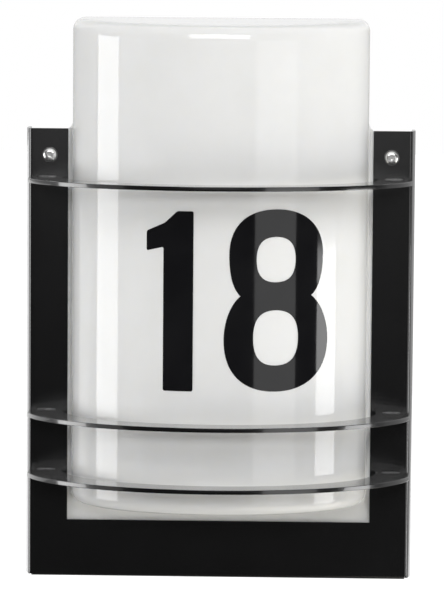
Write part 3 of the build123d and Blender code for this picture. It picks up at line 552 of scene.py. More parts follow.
def to_object(mesh: BMesh, name: str, smooth: float = 32.0) -> bpy.types.Object:
    """Finish a mesh as an object in metres.

    Args:
        mesh: mesh in millimetres, which is used up.
        name: name of the object.
        smooth: largest angle in degrees that is shaded as one surface.

    Returns:
        The object, at the origin.
    """
    bmesh.ops.remove_doubles(mesh, verts=mesh.verts, dist=MERGED)
    bmesh.ops.recalc_face_normals(mesh, faces=mesh.faces)
    bmesh.ops.scale(mesh, vec=(MILLIMETRE,) * 3, verts=mesh.verts)
    data = bpy.data.meshes.new(name)
    mesh.to_mesh(data)
    mesh.free()
    return link_object(name, data, smooth)


def link_object(name: str, data: bpy.types.Mesh, smooth: float) -> bpy.types.Object:
    """Shade a mesh smooth up to an angle and put it in the scene."""
    data.shade_smooth()
    data.set_sharp_from_angle(angle=math.radians(smooth))
    piece = bpy.data.objects.new(name, data)
    bpy.context.scene.collection.objects.link(piece)
    return piece


def cut_away(piece: bpy.types.Object, tool: bpy.types.Object, smooth: float) -> bpy.types.Object:
    """Cut a tool's solids out of a piece and drop the tool.

    Args:
        piece: piece to cut, which is replaced.
        tool: object that holds the solids to take out.
        smooth: largest angle in degrees that is shaded as one surface.

    Returns:
        The cut piece.
    """
    cut = piece.modifiers.new("cut", "BOOLEAN")
    cut.object = tool
    cut.operation = "DIFFERENCE"
    cut.solver = "EXACT"
    solid = bpy.data.meshes.new_from_object(piece.evaluated_get(bpy.context.evaluated_depsgraph_get()))
    name = piece.name
    bpy.data.objects.remove(piece)
    bpy.data.objects.remove(tool)
    return link_object(name, solid, smooth)


def ease_edges(piece: bpy.types.Object, width: float, angle: float = 40.0) -> None:
    """Give a piece's sharp edges a fine rounding, width in millimetres."""
    bevel = piece.modifiers.new("eased_edges", "BEVEL")
    bevel.width = width * MILLIMETRE
    bevel.segments = 2
    bevel.limit_method = "ANGLE"
    bevel.angle_limit = math.radians(angle)
    bevel.harden_normals = True


def even_normals(piece: bpy.types.Object) -> None:
    """Let a piece's large faces rule the shading, so that they look flat up to their rounded edges."""
    weighting = piece.modifiers.new("even_normals", "WEIGHTED_NORMAL")
    weighting.mode = "FACE_AREA"
    weighting.keep_sharp = True


# ---------------------------------------------------------------- the wardrobe


class Wardrobe:
    """Builds each finish once, and dresses and registers the pieces."""

    def __init__(self) -> None:
        """Start with no material built."""
        self.built: dict[str, bpy.types.Material] = {}

    def material(self, finish: Finish) -> bpy.types.Material:
        """Material of a finish, built when it is first asked for."""
        if finish.name not in self.built:
            self.built[finish.name] = finish.material()
        return self.built[finish.name]

    def register(
        self,
        piece: bpy.types.Object,
        body: Body,
        slot: Slot,
        replaced: Sequence[str] = (),
        finish: Finish | None = None,
    ) -> None:
        """Dress a new piece and tie it to the frame.

        Args:
            piece: the finished piece.
            body: CAD body that it rides on.
            slot: material slot of the record.
            replaced: CAD nodes that it stands for.
            finish: its finish, if it isn't the slot's own.
        """
        piece.data.materials.clear()
        piece.data.materials.append(self.material(finish or FINISHES[slot]))
        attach(piece, body.value)
        if replaced:
            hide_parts(*replaced)
        LOG.info("%s: %d faces on %s", piece.name, len(piece.data.polygons), body.value)

    def dress_node(self, name: str, node: bpy.types.Object) -> None:
        """Give a CAD node the finish of its own material slot."""
        for holder in node.material_slots:
            finish = FINISHES[Slot(holder.material.name.split(".")[0])]
            holder.material = self.material(WASHER if name.endswith("screw_washer") else finish)
        LOG.info("%s: CAD node dressed", name)


# ---------------------------------------------------------------- the sign's pieces


@dataclass(frozen=True)
class RimPlace:
    """How the rim grows out of one rear vertex of the diffuser's skin."""

    start: Vector
    direction: Vector
    reach: float
    end: Vector


@dataclass
class Diffuser:
    """Half-elliptical opal shell with round-edged ends and a clamping rim behind the cover."""

    half_width: float = DIFFUSER_HALF_WIDTH
    reach: float = DIFFUSER_REACH
    bottom: float = -137.0
    top: float = 195.5
    edge: float = 8.0
    wall: float = 3.0
    rim_front: float = 22.0
    rim_back: float = 18.5
    rim_half_width: float = 110.0
    rim_bottom: float = -159.0
    rim_corner: float = 6.0
    shoulder: float = 118.5
    shoulder_step: float = 0.1
    hollow: float = 6.5
    fall: float = 3.4
    brow: float = 2.7
    crown_start: float = 181.8
    crown_radius: float = 22.0
    crown_steps: int = 10
    blend: float = 3.0
    arc_steps: int = 96
    edge_steps: int = 8
    blend_steps: int = 5
    hollow_steps: int = 7

    def skin(self, inset: float, back: float) -> BMesh:
        """Bowed skin that is open towards the wall.

        Args:
            inset: distance that it is drawn in from the diffuser's outside.
            back: distance from the wall of its open rear edge.

        Returns:
            The skin's mesh.
        """
        mesh = bmesh.new()
        half = self.half_width - inset
        low = self.bottom + inset
        path = Path(mesh, (-half, 0.0, low))
        path.turn((0.0, 0.0, 0.0), (0.0, 0.0, 1.0), 180.0, self.arc_steps)
        bmesh.ops.scale(mesh, vec=(1.0, (self.reach - inset) / half, 1.0), verts=mesh.verts)
        bmesh.ops.translate(mesh, vec=(0.0, -FACE_OUT, 0.0), verts=mesh.verts)
        if back < FACE_OUT:
            path.run((half, -back, low), (-half, -back, low))
        path.run((-half, -FACE_OUT, low))
        bmesh.ops.remove_doubles(mesh, verts=mesh.verts, dist=TOUCH)
        bmesh.ops.edgeloop_fill(mesh, edges=mesh.edges)
        thicken(mesh, mesh.faces[:], (0.0, 0.0, self.top - self.bottom - 2 * inset))
        ends = [
            edge
            for edge in mesh.edges
            if abs(edge.verts[0].co.z - edge.verts[1].co.z) < TOUCH
            and min(vert.co.y for vert in edge.verts) < -back - HAIR
        ]
        soften(mesh, ends, self.edge - inset, self.edge_steps)
        rear = [face for face in mesh.faces if all(vert.co.y > -back - HAIR for vert in face.verts)]
        bmesh.ops.delete(mesh, geom=rear, context="FACES")
        for level in self._levels():
            slice_at(mesh, (0.0, 0.0, level), (0.0, 0.0, 1.0))
        self._slope_top(mesh, inset)
        return mesh

    def _levels(self) -> list[float]:
        """Heights at which both skins are sliced, for the rim's shoulders and for the crown."""
        turn = math.radians(90.0) / (self.hollow_steps - 1)
        depths = [1.0 - math.sin(turn * step) for step in range(self.hollow_steps)]
        hollows = [self.shoulder + self.hollow * depth for depth in depths]
        run = self.top - self.edge - self.crown_start
        crowns = [self.crown_start + run * step / self.crown_steps for step in range(self.crown_steps)]
        return [self.shoulder - self.shoulder_step, *hollows, *crowns]

    def _slope_top(self, mesh: BMesh, inset: float) -> None:
        """Let the top fall towards the front, with a tighter rounding there and a front that leans back.

        Args:
            mesh: the skin.
            inset: distance that it is drawn in from the diffuser's outside.
        """
        foot = self.top - self.edge
        crown = foot + self.brow - self.crown_start
        for vert in mesh.verts:
            front = max(0.0, -vert.co.y - FACE_OUT) / self.reach
            if vert.co.z > foot - HAIR:
                share = (vert.co.z - foot) / (self.edge - inset)
                vert.co.z += front * ((self.brow - inset) * (1.0 - share) - self.fall * share)
            rise = max(0.0, vert.co.z - self.crown_start)
            bowed = min(rise, crown)
            vert.co.y += front * (bowed * bowed / 2 + (rise - bowed) * crown) / self.crown_radius

    def _outward(self, vert: BMVert) -> tuple[Vector, float]:
        """Outward direction of the rim at a rear vertex, and how far the rim may reach there.

        Args:
            vert: vertex of the outer skin's rear edge.

        Returns:
            The direction and the reach in millimetres, which is nothing beside the neck.
        """
        x, z = vert.co.x, vert.co.z
        side = math.copysign(1.0, x)
        corner = Vector((side * (self.half_width - self.edge), 0.0, self.bottom + self.edge))
        full = self.rim_half_width - self.half_width
        if z < corner.z + TOUCH:
            if abs(x) > abs(corner.x) + TOUCH:
                return (Vector((x, 0.0, z)) - corner).normalized(), full
            return Vector((0.0, 0.0, -1.0)), full
        rise = z - self.shoulder
        if rise < -self.shoulder_step / 2:
            return Vector((side, 0.0, 0.0)), full
        if rise < self.hollow:
            drop = (self.hollow - max(rise, 0.0)) / self.hollow
            return Vector((side, 0.0, 0.0)), self.hollow * (1.0 - math.sqrt(1.0 - min(1.0, drop * drop)))
        return Vector((0.0, 0.0, 0.0)), 0.0

    def _rim_place(self, vert: BMVert) -> RimPlace:
        """Work out how the rim grows out of a rear vertex of the skin."""
        direction, reach = self._outward(vert)
        if abs(direction.z) < HAIR:
            end = vert.co + direction * reach
        elif abs(direction.x) < HAIR:
            end = Vector((vert.co.x, vert.co.y, self.rim_bottom))
        else:
            across = math.copysign(self.rim_half_width - self.rim_corner, vert.co.x)
            centre = Vector((across, vert.co.y, self.rim_bottom + self.rim_corner))
            end = centre + direction * self.rim_corner
        return RimPlace(vert.co.copy(), direction, reach, end)

    def build(self) -> bpy.types.Object:
        """Build the shell.

        Returns:
            The diffuser.
        """
        mesh = self.skin(0.0, FACE_OUT)
        loop = [edge for edge in mesh.edges if len(edge.link_faces) == 1]
        places = {vert: self._rim_place(vert) for vert in ends_of(loop)}
        depth = FACE_OUT - self.rim_front
        for step in range(1, self.blend_steps + 1):
            angle = math.radians(90.0 * step / self.blend_steps)
            spread = self.blend * (1.0 - math.cos(angle))
            back = -FACE_OUT + depth * math.sin(angle)
            loop, places = self._next_ring(mesh, loop, places, spread, back)
        loop, places = self._next_ring(mesh, loop, places, None, -self.rim_front)
        self._next_ring(mesh, loop, places, None, -self.rim_back)
        inner = self.skin(self.wall, self.rim_back)
        bmesh.ops.reverse_faces(inner, faces=inner.faces)
        lining = bpy.data.meshes.new("lining")
        inner.to_mesh(lining)
        inner.free()
        mesh.from_mesh(lining)
        bpy.data.meshes.remove(lining)
        bmesh.ops.remove_doubles(mesh, verts=mesh.verts, dist=MERGED)
        rears = [edge for edge in mesh.edges if len(edge.link_faces) == 1]
        bmesh.ops.bridge_loops(mesh, edges=rears)
        diffuser = to_object(mesh, "opal_diffuser", 30.0)
        even_normals(diffuser)
        return diffuser

    @staticmethod
    def _next_ring(
        mesh: BMesh, loop: list[BMEdge], places: dict[BMVert, RimPlace], spread: float | None, back: float
    ) -> tuple[list[BMEdge], dict[BMVert, RimPlace]]:
        """Extrude the rear edge into the next ring of the blend or the rim.

        Args:
            mesh: mesh that holds the ring.
            loop: edges of the last ring.
            places: how the rim grows at each of its vertices.
            spread: distance outwards from the skin, or nothing for the rim's outer edge.
            back: Y of the new ring.

        Returns:
            The new ring's edges, and how the rim grows at each of their vertices.
        """
        ring = draw_out(mesh, loop, (0.0, 0.0, 0.0))
        after = {}
        for vert in ends_of(ring):
            neighbours = (edge.other_vert(vert) for edge in vert.link_edges)
            place = next(places[other] for other in neighbours if other in places)
            grown = place.end
            if spread is not None:
                grown = place.start + place.direction * min(spread, place.reach)
            vert.co = (grown.x, back, grown.z)
            after[vert] = place
        return ring, after


@dataclass
class Fin:
    """Crescent of sheet that bows round the diffuser, with a tab at each end in the cover's slots."""

    name: str
    top: float
    half_width: float = 133.0
    reach: float = 90.0
    side_band: float = 25.0
    front_band: float = 18.5
    thickness: float = FIN_THICKNESS
    end: float = 130.5
    tab_x: float = TAB_X
    tab_length: float = TAB_LENGTH
    tab_depth: float = 2.0
    easing: float = 0.35
    steps: int = 128

    def build(self) -> bpy.types.Object:
        """Build the fin.

        Returns:
            The fin, with finely rounded edges.
        """
        mesh = bmesh.new()
        path = Path(mesh, (-self.half_width, 0.0, self.top))
        path.run((-self.half_width + self.side_band, 0.0, self.top))
        sweep(mesh, mesh.verts[:] + mesh.edges[:], (0.0, 0.0, 0.0), (0.0, 0.0, 1.0), 180.0, self.steps)
        inner = self.half_width - self.side_band
        middle = self.half_width - self.side_band / 2
        outside = [vert for vert in mesh.verts if vert.co.xy.length > middle]
        inside = [vert for vert in mesh.verts if vert.co.xy.length <= middle]
        bmesh.ops.scale(mesh, vec=(1.0, self.reach / self.half_width, 1.0), verts=outside)
        bmesh.ops.scale(mesh, vec=(1.0, (self.reach - self.front_band) / inner, 1.0), verts=inside)
        bmesh.ops.translate(mesh, vec=(0.0, -FACE_OUT, 0.0), verts=mesh.verts)
        for side in SIDES:
            slice_at(mesh, (side * self.end, 0.0, 0.0), (side, 0.0, 0.0), clear=True)
            for shift in SIDES:
                cut = side * self.tab_x + shift * self.tab_length / 2
                slice_at(mesh, (cut, 0.0, 0.0), (1.0, 0.0, 0.0))
        thicken(mesh, mesh.faces[:], (0.0, 0.0, -self.thickness))
        tabs = [
            face
            for face in mesh.faces
            if face.normal.y > 0.9
            and abs(abs(face.calc_center_median().x) - self.tab_x) < self.tab_length / 2
        ]
        thicken(mesh, tabs, (0.0, self.tab_depth, 0.0))
        bmesh.ops.delete(mesh, geom=[face for face in tabs if face.is_valid], context="FACES_ONLY")
        soften(mesh, sharp_edges(mesh, 50.0), self.easing, 2)
        fin = to_object(mesh, self.name, 40.0)
        even_normals(fin)
        return fin


@dataclass
class FinWelds:
    """Weld beads that hold the fins' ends to the cover's strips, above and below each tab."""

    fins: Sequence[Fin]
    radius: float = 0.9
    length: float = 13.0
    rings: int = 26
    segments: int = 14
    ripple: float = 0.12
    ripples: float = 9.0
    bluntness: float = 0.25
    thinnest: float = 0.15

    def bead(self, mesh: BMesh, x: float, z: float) -> None:
        """Add one rippled bead along X in the corner between a fin and its strip.

        Args:
            mesh: mesh that gets the bead.
            x: middle of the bead.
            z: height of the fin's face.
        """
        centre = x - self.length / 2
        turn = Matrix.Rotation(math.radians(90.0), 4, "Y")
        place = Matrix.Translation((centre, -FACE_OUT, z)) @ turn
        ring = bmesh.ops.create_circle(
            mesh, cap_ends=False, segments=self.segments, radius=self.radius, matrix=place
        )["verts"]
        first = edges = edges_at(ring)
        widths = [self._width(index / self.rings) for index in range(self.rings + 1)]
        self._resize(mesh, edges, centre, z, widths[0])
        step = self.length / self.rings
        for before, width in zip(widths, widths[1:]):
            edges = draw_out(mesh, edges, (step, 0.0, 0.0))
            centre += step
            self._resize(mesh, edges, centre, z, width / before)
        bmesh.ops.edgeloop_fill(mesh, edges=first)
        bmesh.ops.edgeloop_fill(mesh, edges=edges)

    def _width(self, share: float) -> float:
        """Share of the full radius that a bead has at a share of its length."""
        taper = max(self.thinnest, math.sin(math.pi * share) ** self.bluntness)
        return taper * (1.0 + self.ripple * math.sin(share * self.ripples * math.tau))

    @staticmethod
    def _resize(mesh: BMesh, edges: Sequence[BMEdge], x: float, z: float, factor: float) -> None:
        """Scale a ring of a bead about its middle."""
        middle = Matrix.Translation((-x, FACE_OUT, -z))
        bmesh.ops.scale(mesh, vec=(factor,) * 3, verts=ends_of(edges), space=middle)

    def build(self) -> bpy.types.Object:
        """Build all the beads as one piece."""
        mesh = bmesh.new()
        for fin in self.fins:
            for side in SIDES:
                for z in (fin.top, fin.top - fin.thickness):
                    self.bead(mesh, side * fin.tab_x, z)
        return to_object(mesh, "fin_welds", 60.0)


@dataclass
class CoverFrame:
    """Front frame folded from one sheet, open at the top, with its side and bottom edges turned back."""

    half_width: float = 133.0
    bottom: float = -190.0
    top: float = 119.5
    sheet: float = 2.0
    bend: float = 2.3
    foot_bend: float = 2.5
    flare: float = 15.0
    hip: float = 15.4
    opening_half_width: float = 104.25
    sill: float = -150.5
    side_back: float = 1.5
    bottom_back: float = 7.0
    hole_x: float = 116.7
    hole_z: float = 101.5
    hole_radius: float = 2.75
    slot_x: float = TAB_X
    slot_length: float = TAB_LENGTH
    slot_tops: Sequence[float] = FIN_TOPS
    slot_height: float = FIN_THICKNESS
    pin_out: float = 8.0
    pin_z: float = -180.0
    pin_radius: float = 2.55
    bend_steps: int = 10
    slot_steps: int = 8
    corner_gap: float = 1.1
    corner_drop: float = 1.4
    easing: float = 0.3
    nearly_all: float = 0.999
    cut_before: float = 10.0
    cut_behind: float = 6.0
    cut_above: float = 20.0
    cut_beside: float = 8.0
    cut_below: float = 5.0

    def _folded_sheet(self) -> bpy.types.Object:
        """Sheet with its three folds, before anything is cut out."""
        mesh = bmesh.new()
        half, front = self.half_width, -FACE_OUT
        flare = math.radians(self.flare)
        start = front + self.bend
        knee = start - self.bend * math.sin(flare)
        fold = half - (-self.hip - knee) * math.tan(flare)
        flat = fold - self.bend * math.cos(flare)
        low = self.bottom + self.foot_bend
        up, degrees = (0.0, 0.0, 1.0), 90.0 - self.flare
        path = Path(mesh, (-half, -self.side_back, low))
        path.run((-half, -self.hip, low), (-fold, knee, low))
        path.turn((-flat, start, low), up, degrees, self.bend_steps)
        path.run((flat, front, low))
        path.turn((flat, start, low), up, degrees, self.bend_steps)
        path.run((half, -self.hip, low), (half, -self.side_back, low))
        draw_out(mesh, mesh.edges[:], (0.0, 0.0, self.top - low))
        foot = [
            edge
            for edge in mesh.edges
            if all(abs(abs(vert.co.x) - flat) < TOUCH and vert.co.z < low + TOUCH for vert in edge.verts)
        ]
        foot_start = front + self.foot_bend
        centre = (0.0, foot_start, low)
        made = sweep(mesh, foot + ends_of(foot), centre, (1.0, 0.0, 0.0), 90.0, self.bend_steps)
        last = [item for item in made if isinstance(item, BMEdge)]
        draw_out(mesh, last, (0.0, -foot_start - self.bottom_back, 0.0))
        heels = [
            edge
            for edge in mesh.edges
            if all(abs(vert.co.x) > flat + self.corner_gap for vert in edge.verts)
            and all(vert.co.z < low + TOUCH for vert in edge.verts)
        ]
        draw_out(mesh, heels, (0.0, 0.0, -self.corner_drop))
        bmesh.ops.remove_doubles(mesh, verts=mesh.verts, dist=MERGED)
        bmesh.ops.recalc_face_normals(mesh, faces=mesh.faces)
        front_face = max(mesh.faces, key=lambda face: face.calc_area())
        if front_face.normal.y > 0.0:
            bmesh.ops.reverse_faces(mesh, faces=mesh.faces)
        bmesh.ops.solidify(mesh, geom=mesh.faces[:], thickness=self.sheet)
        return to_object(mesh, "cover_frame", 30.0)

    def _cutter(self) -> bpy.types.Object:
        """Solids of the opening, the screw holes, the fin slots and the hook slots."""
        mesh = bmesh.new()
        before, behind = -FACE_OUT - self.cut_before, -FACE_OUT + self.sheet + self.cut_behind
        add_block(
            mesh,
            (-self.opening_half_width, before, self.sill),
            (self.opening_half_width, behind, self.top + self.cut_above),
        )
        for side in SIDES:
            hole = (side * self.hole_x, -FACE_OUT, self.hole_z)
            add_pin(mesh, hole, (0.0, 1.0, 0.0), self.hole_radius, 2 * self.cut_behind)
            for slot_top in self.slot_tops:
                centre = side * self.slot_x
                add_block(
                    mesh,
                    (centre - self.slot_length / 2, before, slot_top - self.slot_height),
                    (centre + self.slot_length / 2, behind, slot_top),
                )
            ends = sorted(side * (self.half_width + shift * self.cut_beside) for shift in SIDES)
            verts = add_block(
                mesh,
                (ends[0], -self.pin_out - self.pin_radius, self.bottom - self.cut_below),
                (ends[1], -self.pin_out + self.pin_radius, self.pin_z + self.pin_radius),
            )
            crown = [
                edge
                for edge in edges_at(verts)
                if all(vert.co.z > self.pin_z for vert in edge.verts)
                and abs(edge.verts[0].co.y - edge.verts[1].co.y) < TOUCH
            ]
            soften(mesh, crown, self.pin_radius * self.nearly_all, self.slot_steps)
        return to_object(mesh, "cover_cutter")

    def build(self) -> bpy.types.Object:
        """Build the frame.

        Returns:
            The folded and cut sheet with eased edges.
        """
        frame = cut_away(self._folded_sheet(), self._cutter(), 30.0)
        ease_edges(frame, self.easing)
        return frame


@dataclass
class Numerals:
    """Plain block numerals in black film, which follow the diffuser's curve."""

    half_width: float = DIFFUSER_HALF_WIDTH
    reach: float = DIFFUSER_REACH
    lift: float = 0.02
    film: float = 0.15
    bottom: float = -52.4
    stem_left: float = -36.2
    stem_right: float = -16.1
    one_top: float = 68.5
    one_corner: float = 1.2
    one_corner_steps: int = 4
    eight_centre: float = 39.15
    eight_top: float = 70.1
    eight_steps: int = 20
    counter_pull: float = 0.68
    slices: int = 40

    def one(self) -> BMesh:
        """Flat figure one, with a sloping flag.

        Returns:
            A mesh of one face in the plane Y = 0.
        """
        mesh = bmesh.new()
        left, right, low, high = self.stem_left, self.stem_right, self.bottom, self.one_top
        path = Path(mesh, (left, 0.0, low))
        path.run((right, 0.0, low), (right, 0.0, high), (-27.0, 0.0, high))
        path.run((-35.5, 0.0, 60.5), (-47.6, 0.0, 55.0), (-47.6, 0.0, 41.6), (left, 0.0, 44.4))
        path.run((left, 0.0, low))
        bmesh.ops.remove_doubles(mesh, verts=mesh.verts, dist=TOUCH)
        bmesh.ops.edgeloop_fill(mesh, edges=mesh.edges)
        bmesh.ops.bevel(
            mesh,
            geom=mesh.verts[:],
            affect="VERTICES",
            offset_type="OFFSET",
            offset=self.one_corner,
            segments=self.one_corner_steps,
            profile=0.5,
            material=-1,
        )
        return mesh

    def eight(self) -> BMesh:
        """Flat figure eight: an outline of two lobes round two counters.

        Returns:
            A flat mesh in the plane Y = 0.
        """
        centre = self.eight_centre
        right = [
            ((0.0, self.eight_top), (-20.0, self.eight_top), (20.0, self.eight_top)),
            ((31.2, 40.0), (31.2, 58.5), (31.2, 25.5)),
            ((23.6, 12.0), (28.6, 16.6), (30.4, 6.4)),
            ((34.65, -17.6), (34.65, -5.4), (34.65, -39.6)),
            ((0.0, self.bottom), (22.0, self.bottom), (-22.0, self.bottom)),
        ]
        left = [tuple((-x, z) for x, z in (place, after, before)) for place, before, after in right[3:0:-1]]
        outline = bpy.data.curves.new("eight_outline", "CURVE")
        outline.dimensions = "2D"
        outline.fill_mode = "BOTH"
        outline.resolution_u = self.eight_steps
        counters = [self._counter(36.4, 13.0, 15.2), self._counter(-16.2, 15.0, 18.6)]
        for points in (right + left, *counters):
            spline = outline.splines.new("BEZIER")
            spline.bezier_points.add(len(points) - 1)
            spline.use_cyclic_u = True
            for knot, (place, before, after) in zip(spline.bezier_points, points):
                knot.handle_left_type = knot.handle_right_type = "FREE"
                knot.co = (centre + place[0], place[1], 0.0)
                knot.handle_left = (centre + before[0], before[1], 0.0)
                knot.handle_right = (centre + after[0], after[1], 0.0)
        holder = bpy.data.objects.new("eight_outline", outline)
        bpy.context.scene.collection.objects.link(holder)
        flat = bpy.data.meshes.new_from_object(holder.evaluated_get(bpy.context.evaluated_depsgraph_get()))
        bpy.data.objects.remove(holder)
        mesh = bmesh.new()
        mesh.from_mesh(flat)
        bpy.data.meshes.remove(flat)
        bmesh.ops.rotate(mesh, matrix=Matrix.Rotation(math.radians(90.0), 3, "X"), verts=mesh.verts)
        return mesh

    def _counter(self, rise: float, half_width: float, half_height: float) -> list[Knot]:
        """Four knots of a rounded counter of the eight."""
        across, along = half_width * self.counter_pull, half_height * self.counter_pull
        return [
            ((0.0, rise + half_height), (-across, rise + half_height), (across, rise + half_height)),
            ((half_width, rise), (half_width, rise + along), (half_width, rise - along)),
            ((0.0, rise - half_height), (across, rise - half_height), (-across, rise - half_height)),
            ((-half_width, rise), (-half_width, rise - along), (-half_width, rise + along)),
        ]

    def wrap(self, mesh: BMesh, name: str) -> bpy.types.Object:
        """Lay a flat figure on the diffuser and give it the film's thickness.

        Args:
            mesh: flat figure.
            name: name of the piece.

        Returns:
            The film numeral.
        """
        left = min(vert.co.x for vert in mesh.verts)
        right = max(vert.co.x for vert in mesh.verts)
        for index in range(1, self.slices):
            cut = left + (right - left) * index / self.slices
            slice_at(mesh, (cut, 0.0, 0.0), (1.0, 0.0, 0.0))
        bmesh.ops.remove_doubles(mesh, verts=mesh.verts, dist=TOUCH / 2)
        half, reach = self.half_width + self.lift, self.reach + self.lift
        for vert in mesh.verts:
            vert.co.y = -FACE_OUT - reach * math.sqrt(1.0 - (vert.co.x / half) ** 2)
        thicken(mesh, mesh.faces[:], (0.0, -self.film, 0.0))
        return to_object(mesh, name, 30.0)

    def build(self) -> list[bpy.types.Object]:
        """Build both numerals."""
        return [self.wrap(self.one(), "numeral_one"), self.wrap(self.eight(), "numeral_eight")]


# ---------------------------------------------------------------- studio


@dataclass(frozen=True)
class Softbox:
    """Rectangular light that faces the sign, and is mirrored in it or only lights it."""

    name: str
    azimuth: float
    elevation: float
    distance: float
    width: float
    height: float
    radiance: float
    target: Point = (0.0, 0.0, 0.0)
    colour: Colour = (1.0, 1.0, 1.0)
    mirrored: bool = True

    def place(self) -> None:
        """Hang the light, in metres and degrees, with azimuth 0 in front of the sign."""
        turn, lift = math.radians(self.azimuth), math.radians(self.elevation)
        away = Vector((math.sin(turn) * math.cos(lift), -math.cos(turn) * math.cos(lift), math.sin(lift)))
        light = bpy.data.lights.new(self.name, "AREA")
        light.shape = "RECTANGLE"
        light.size = self.width
        light.size_y = self.height
        light.energy = self.radiance * math.pi * self.width * self.height
        light.color = self.colour
        lamp = bpy.data.objects.new(self.name, light)
        lamp.location = Vector(self.target) + away * self.distance
        lamp.rotation_mode = "QUATERNION"
        lamp.rotation_quaternion = (-away).to_track_quat("-Z", "Y")
        lamp.visible_camera = False
        lamp.visible_glossy = self.mirrored
        bpy.context.scene.collection.objects.link(lamp)


@dataclass
class Studio:
    """Pale floor, white surround, soft lights, and the camera at the photograph's angle."""

    camera_place: Point = (62.833, -2548.639, 257.316)
    pitch: float = 5.7571
    yaw: float = 1.3888
    roll: float = -0.4382
    focal_pixels: float = 3702.23
    image_height: float = 600.0
    sensor: float = 36.0
    farthest: float = 100.0
    floor_low: Point = (-9.0, 1.0, -0.75)
    floor_high: Point = (1.6, 14.0, -0.75)
    floor_tone: float = 0.9
    floor_roughness: float = 0.9
    floor_glow: float = 0.7
    front_glow: float = 0.035
    rear_glow: float = 0.46
    rear_high_glow: float = 0.98
    rise_start: float = 0.0
    rise_end: float = 0.12
    fade_start: float = -0.1
    fade_end: float = 0.15
    sky_glow: float = 0.45
    sky_start: float = 0.42
    sky_end: float = 0.6
    lights: Sequence[Softbox] = field(
        default_factory=lambda: (
            Softbox("left_strip", -76.0, -6.0, 1.3, 0.56, 0.75, 5.4, (-0.06, -0.06, 0.02)),
            Softbox("right_strip", 70.0, -16.0, 1.3, 0.46, 0.6, 5.2, (0.06, -0.06, 0.0)),
            Softbox("left_fill", -52.0, -6.0, 1.6, 0.6, 0.9, 0.5, (-0.06, -0.06, 0.0)),
            Softbox("top_box", 0.0, 60.0, 1.2, 1.6, 1.0, 0.35, (0.0, 0.0, 0.1)),
            Softbox("front_key", 26.0, 40.0, 1.8, 1.0, 0.7, 4.4, mirrored=False),
            Softbox("grey_panel", 30.0, -6.0, 1.5, 0.69, 0.7, 1.2, (0.05, -0.06, 0.0)),
            Softbox("front_box", -1.0, 18.5, 2.2, 1.2, 0.5, 6.9, (0.0, -0.06, 0.0)),
            Softbox("front_apron", -1.5, 1.6, 3.0, 1.0, 0.42, 0.26, (0.0, -0.06, 0.0)),
            Softbox("low_fill", 60.0, -50.0, 1.6, 2.0, 1.0, 1.8, colour=(1.0, 0.97, 0.88)),
        )
    )

    def build(self) -> None:
        """Build the studio."""
        self._camera()
        self._surround()
        self._floor()
        for light in self.lights:
            light.place()

    def _camera(self) -> None:
        """Camera at the photograph's place, with its pitch, yaw and roll."""
        pitch, yaw = math.radians(self.pitch), math.radians(self.yaw)
        ahead = Vector(
            (-math.sin(yaw) * math.cos(pitch), math.cos(yaw) * math.cos(pitch), -math.sin(pitch))
        )
        data = bpy.data.cameras.new("camera")
        data.sensor_width = self.sensor
        data.lens = self.focal_pixels * self.sensor / self.image_height
        data.clip_end = self.farthest
        camera = bpy.data.objects.new("camera", data)
        level = ahead.to_track_quat("-Z", "Y").to_matrix()
        tilt = Matrix.Rotation(math.radians(-self.roll), 3, "Z")
        place = Matrix.Translation(Vector(self.camera_place) * MILLIMETRE)
        camera.matrix_world = place @ (level @ tilt).to_4x4()
        bpy.context.scene.collection.objects.link(camera)
        bpy.context.scene.camera = camera

    @staticmethod
    def _spread(
        nodes: bpy.types.Nodes, start: float, end: float, low: float = 0.0, high: float = 1.0
    ) -> bpy.types.Node:
        """Make a node that spreads the stretch from start to end over the glows from low to high."""
        node = nodes.new("ShaderNodeMapRange")
        for socket, value in (("From Min", start), ("From Max", end), ("To Min", low), ("To Max", high)):
            node.inputs[socket].default_value = value
        return node

    def _surround(self) -> None:
        """White surround behind the sign, dim in front of it, that the camera sees as plain white."""
        world = bpy.data.worlds.new("surround")
        world.use_nodes = True
        nodes, links = world.node_tree.nodes, world.node_tree.links
        seen = nodes["Background"]
        lit = nodes.new("ShaderNodeBackground")
        for background in (seen, lit):
            background.inputs["Color"].default_value = WHITE
        seen.inputs["Strength"].default_value = 1.0
        direction = nodes.new("ShaderNodeTexCoord")
        axes = nodes.new("ShaderNodeSeparateXYZ")
        rise = self._spread(nodes, self.rise_start, self.rise_end, self.rear_glow, self.rear_high_glow)
        fade = self._spread(nodes, self.fade_start, self.fade_end, low=self.front_glow)
        sky = self._spread(nodes, self.sky_start, self.sky_end, high=self.sky_glow)
        rays = nodes.new("ShaderNodeLightPath")
        mix = nodes.new("ShaderNodeMixShader")
        links.new(direction.outputs["Generated"], axes.inputs["Vector"])
        links.new(axes.outputs["Z"], rise.inputs["Value"])
        links.new(axes.outputs["Y"], fade.inputs["Value"])
        links.new(rise.outputs["Result"], fade.inputs["To Max"])
        links.new(axes.outputs["Z"], sky.inputs["Value"])
        links.new(fade.outputs["Result"], sky.inputs["To Min"])
        links.new(sky.outputs["Result"], lit.inputs["Strength"])
        links.new(rays.outputs["Is Camera Ray"], mix.inputs["Fac"])
        links.new(lit.outputs["Background"], mix.inputs[1])
        links.new(seen.outputs["Background"], mix.inputs[2])
        links.new(mix.outputs["Shader"], nodes["World Output"].inputs["Surface"])
        bpy.context.scene.world = world

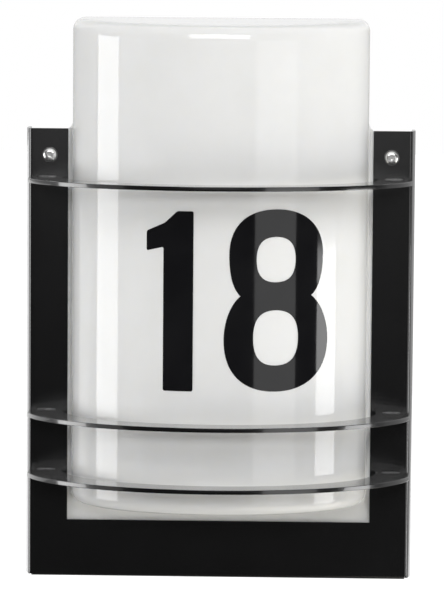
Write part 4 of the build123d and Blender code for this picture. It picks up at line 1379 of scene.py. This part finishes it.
    def _floor(self) -> None:
        """Plain pale floor below the sign."""
        mesh = bmesh.new()
        low, high = Vector(self.floor_low) / MILLIMETRE, Vector(self.floor_high) / MILLIMETRE
        size = high - low
        place = Matrix.Translation((low + high) / 2) @ Matrix.Diagonal((size.x, size.y, 1.0, 1.0))
        bmesh.ops.create_grid(mesh, x_segments=1, y_segments=1, size=0.5, matrix=place)
        floor = to_object(mesh, "floor")
        shader = Shader("pale_floor")
        shader.surface.inputs["Base Color"].default_value = (*(self.floor_tone,) * 3, 1.0)
        shader.surface.inputs["Roughness"].default_value = self.floor_roughness
        shader.surface.inputs["Emission Color"].default_value = WHITE
        shader.surface.inputs["Emission Strength"].default_value = self.floor_glow
        floor.data.materials.append(shader.material)


# ---------------------------------------------------------------- assembly


class Sign:
    """The whole sign: the cover's new pieces and the dressed CAD nodes."""

    def __init__(self, frame: dict) -> None:
        """Keep the loaded frame.
        """
        self.frame = frame
        self.wardrobe = Wardrobe()

    def build_cover(self) -> None:
        """Build the pieces that ride on the cover."""
        register = self.wardrobe.register
        register(CoverFrame().build(), Body.COVER, Slot.BLACK_PAINT, ("front_frame",))
        fins = [Fin(name, top) for name, top in zip(("fin_upper", "fin_middle", "fin_lower"), FIN_TOPS)]
        for fin, node in zip(fins, ("upper_fin", "middle_fin", "lower_fin")):
            register(fin.build(), Body.COVER, Slot.BLACK_PAINT, (node,))
        # The weld beads take the lighter grey finish, a painted highlight on beads that are really black.
        register(FinWelds(fins).build(), Body.COVER, Slot.BLACK_PAINT, finish=WELD_PAINTED_HIGHLIGHT)
        register(Diffuser().build(), Body.COVER, Slot.OPAL_ACRYLIC, ("diffuser",))
        for numeral in Numerals().build():
            register(numeral, Body.COVER, Slot.BLACK_PAINT, finish=FILM)

    def dress_nodes(self) -> None:
        """Give every CAD node that still shows its finish."""
        for name, node in sorted(self.frame["nodes"].items()):
            self.wardrobe.dress_node(name, node)


def main() -> None:
    """Build the sign round the frame and light it."""
    logging.basicConfig(level=logging.INFO, format="%(message)s")
    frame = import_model()
    Studio().build()
    sign = Sign(frame)
    sign.build_cover()
    sign.dress_nodes()
    bpy.context.scene.view_settings.view_transform = "Standard"


if __name__ == "__main__":
    main()
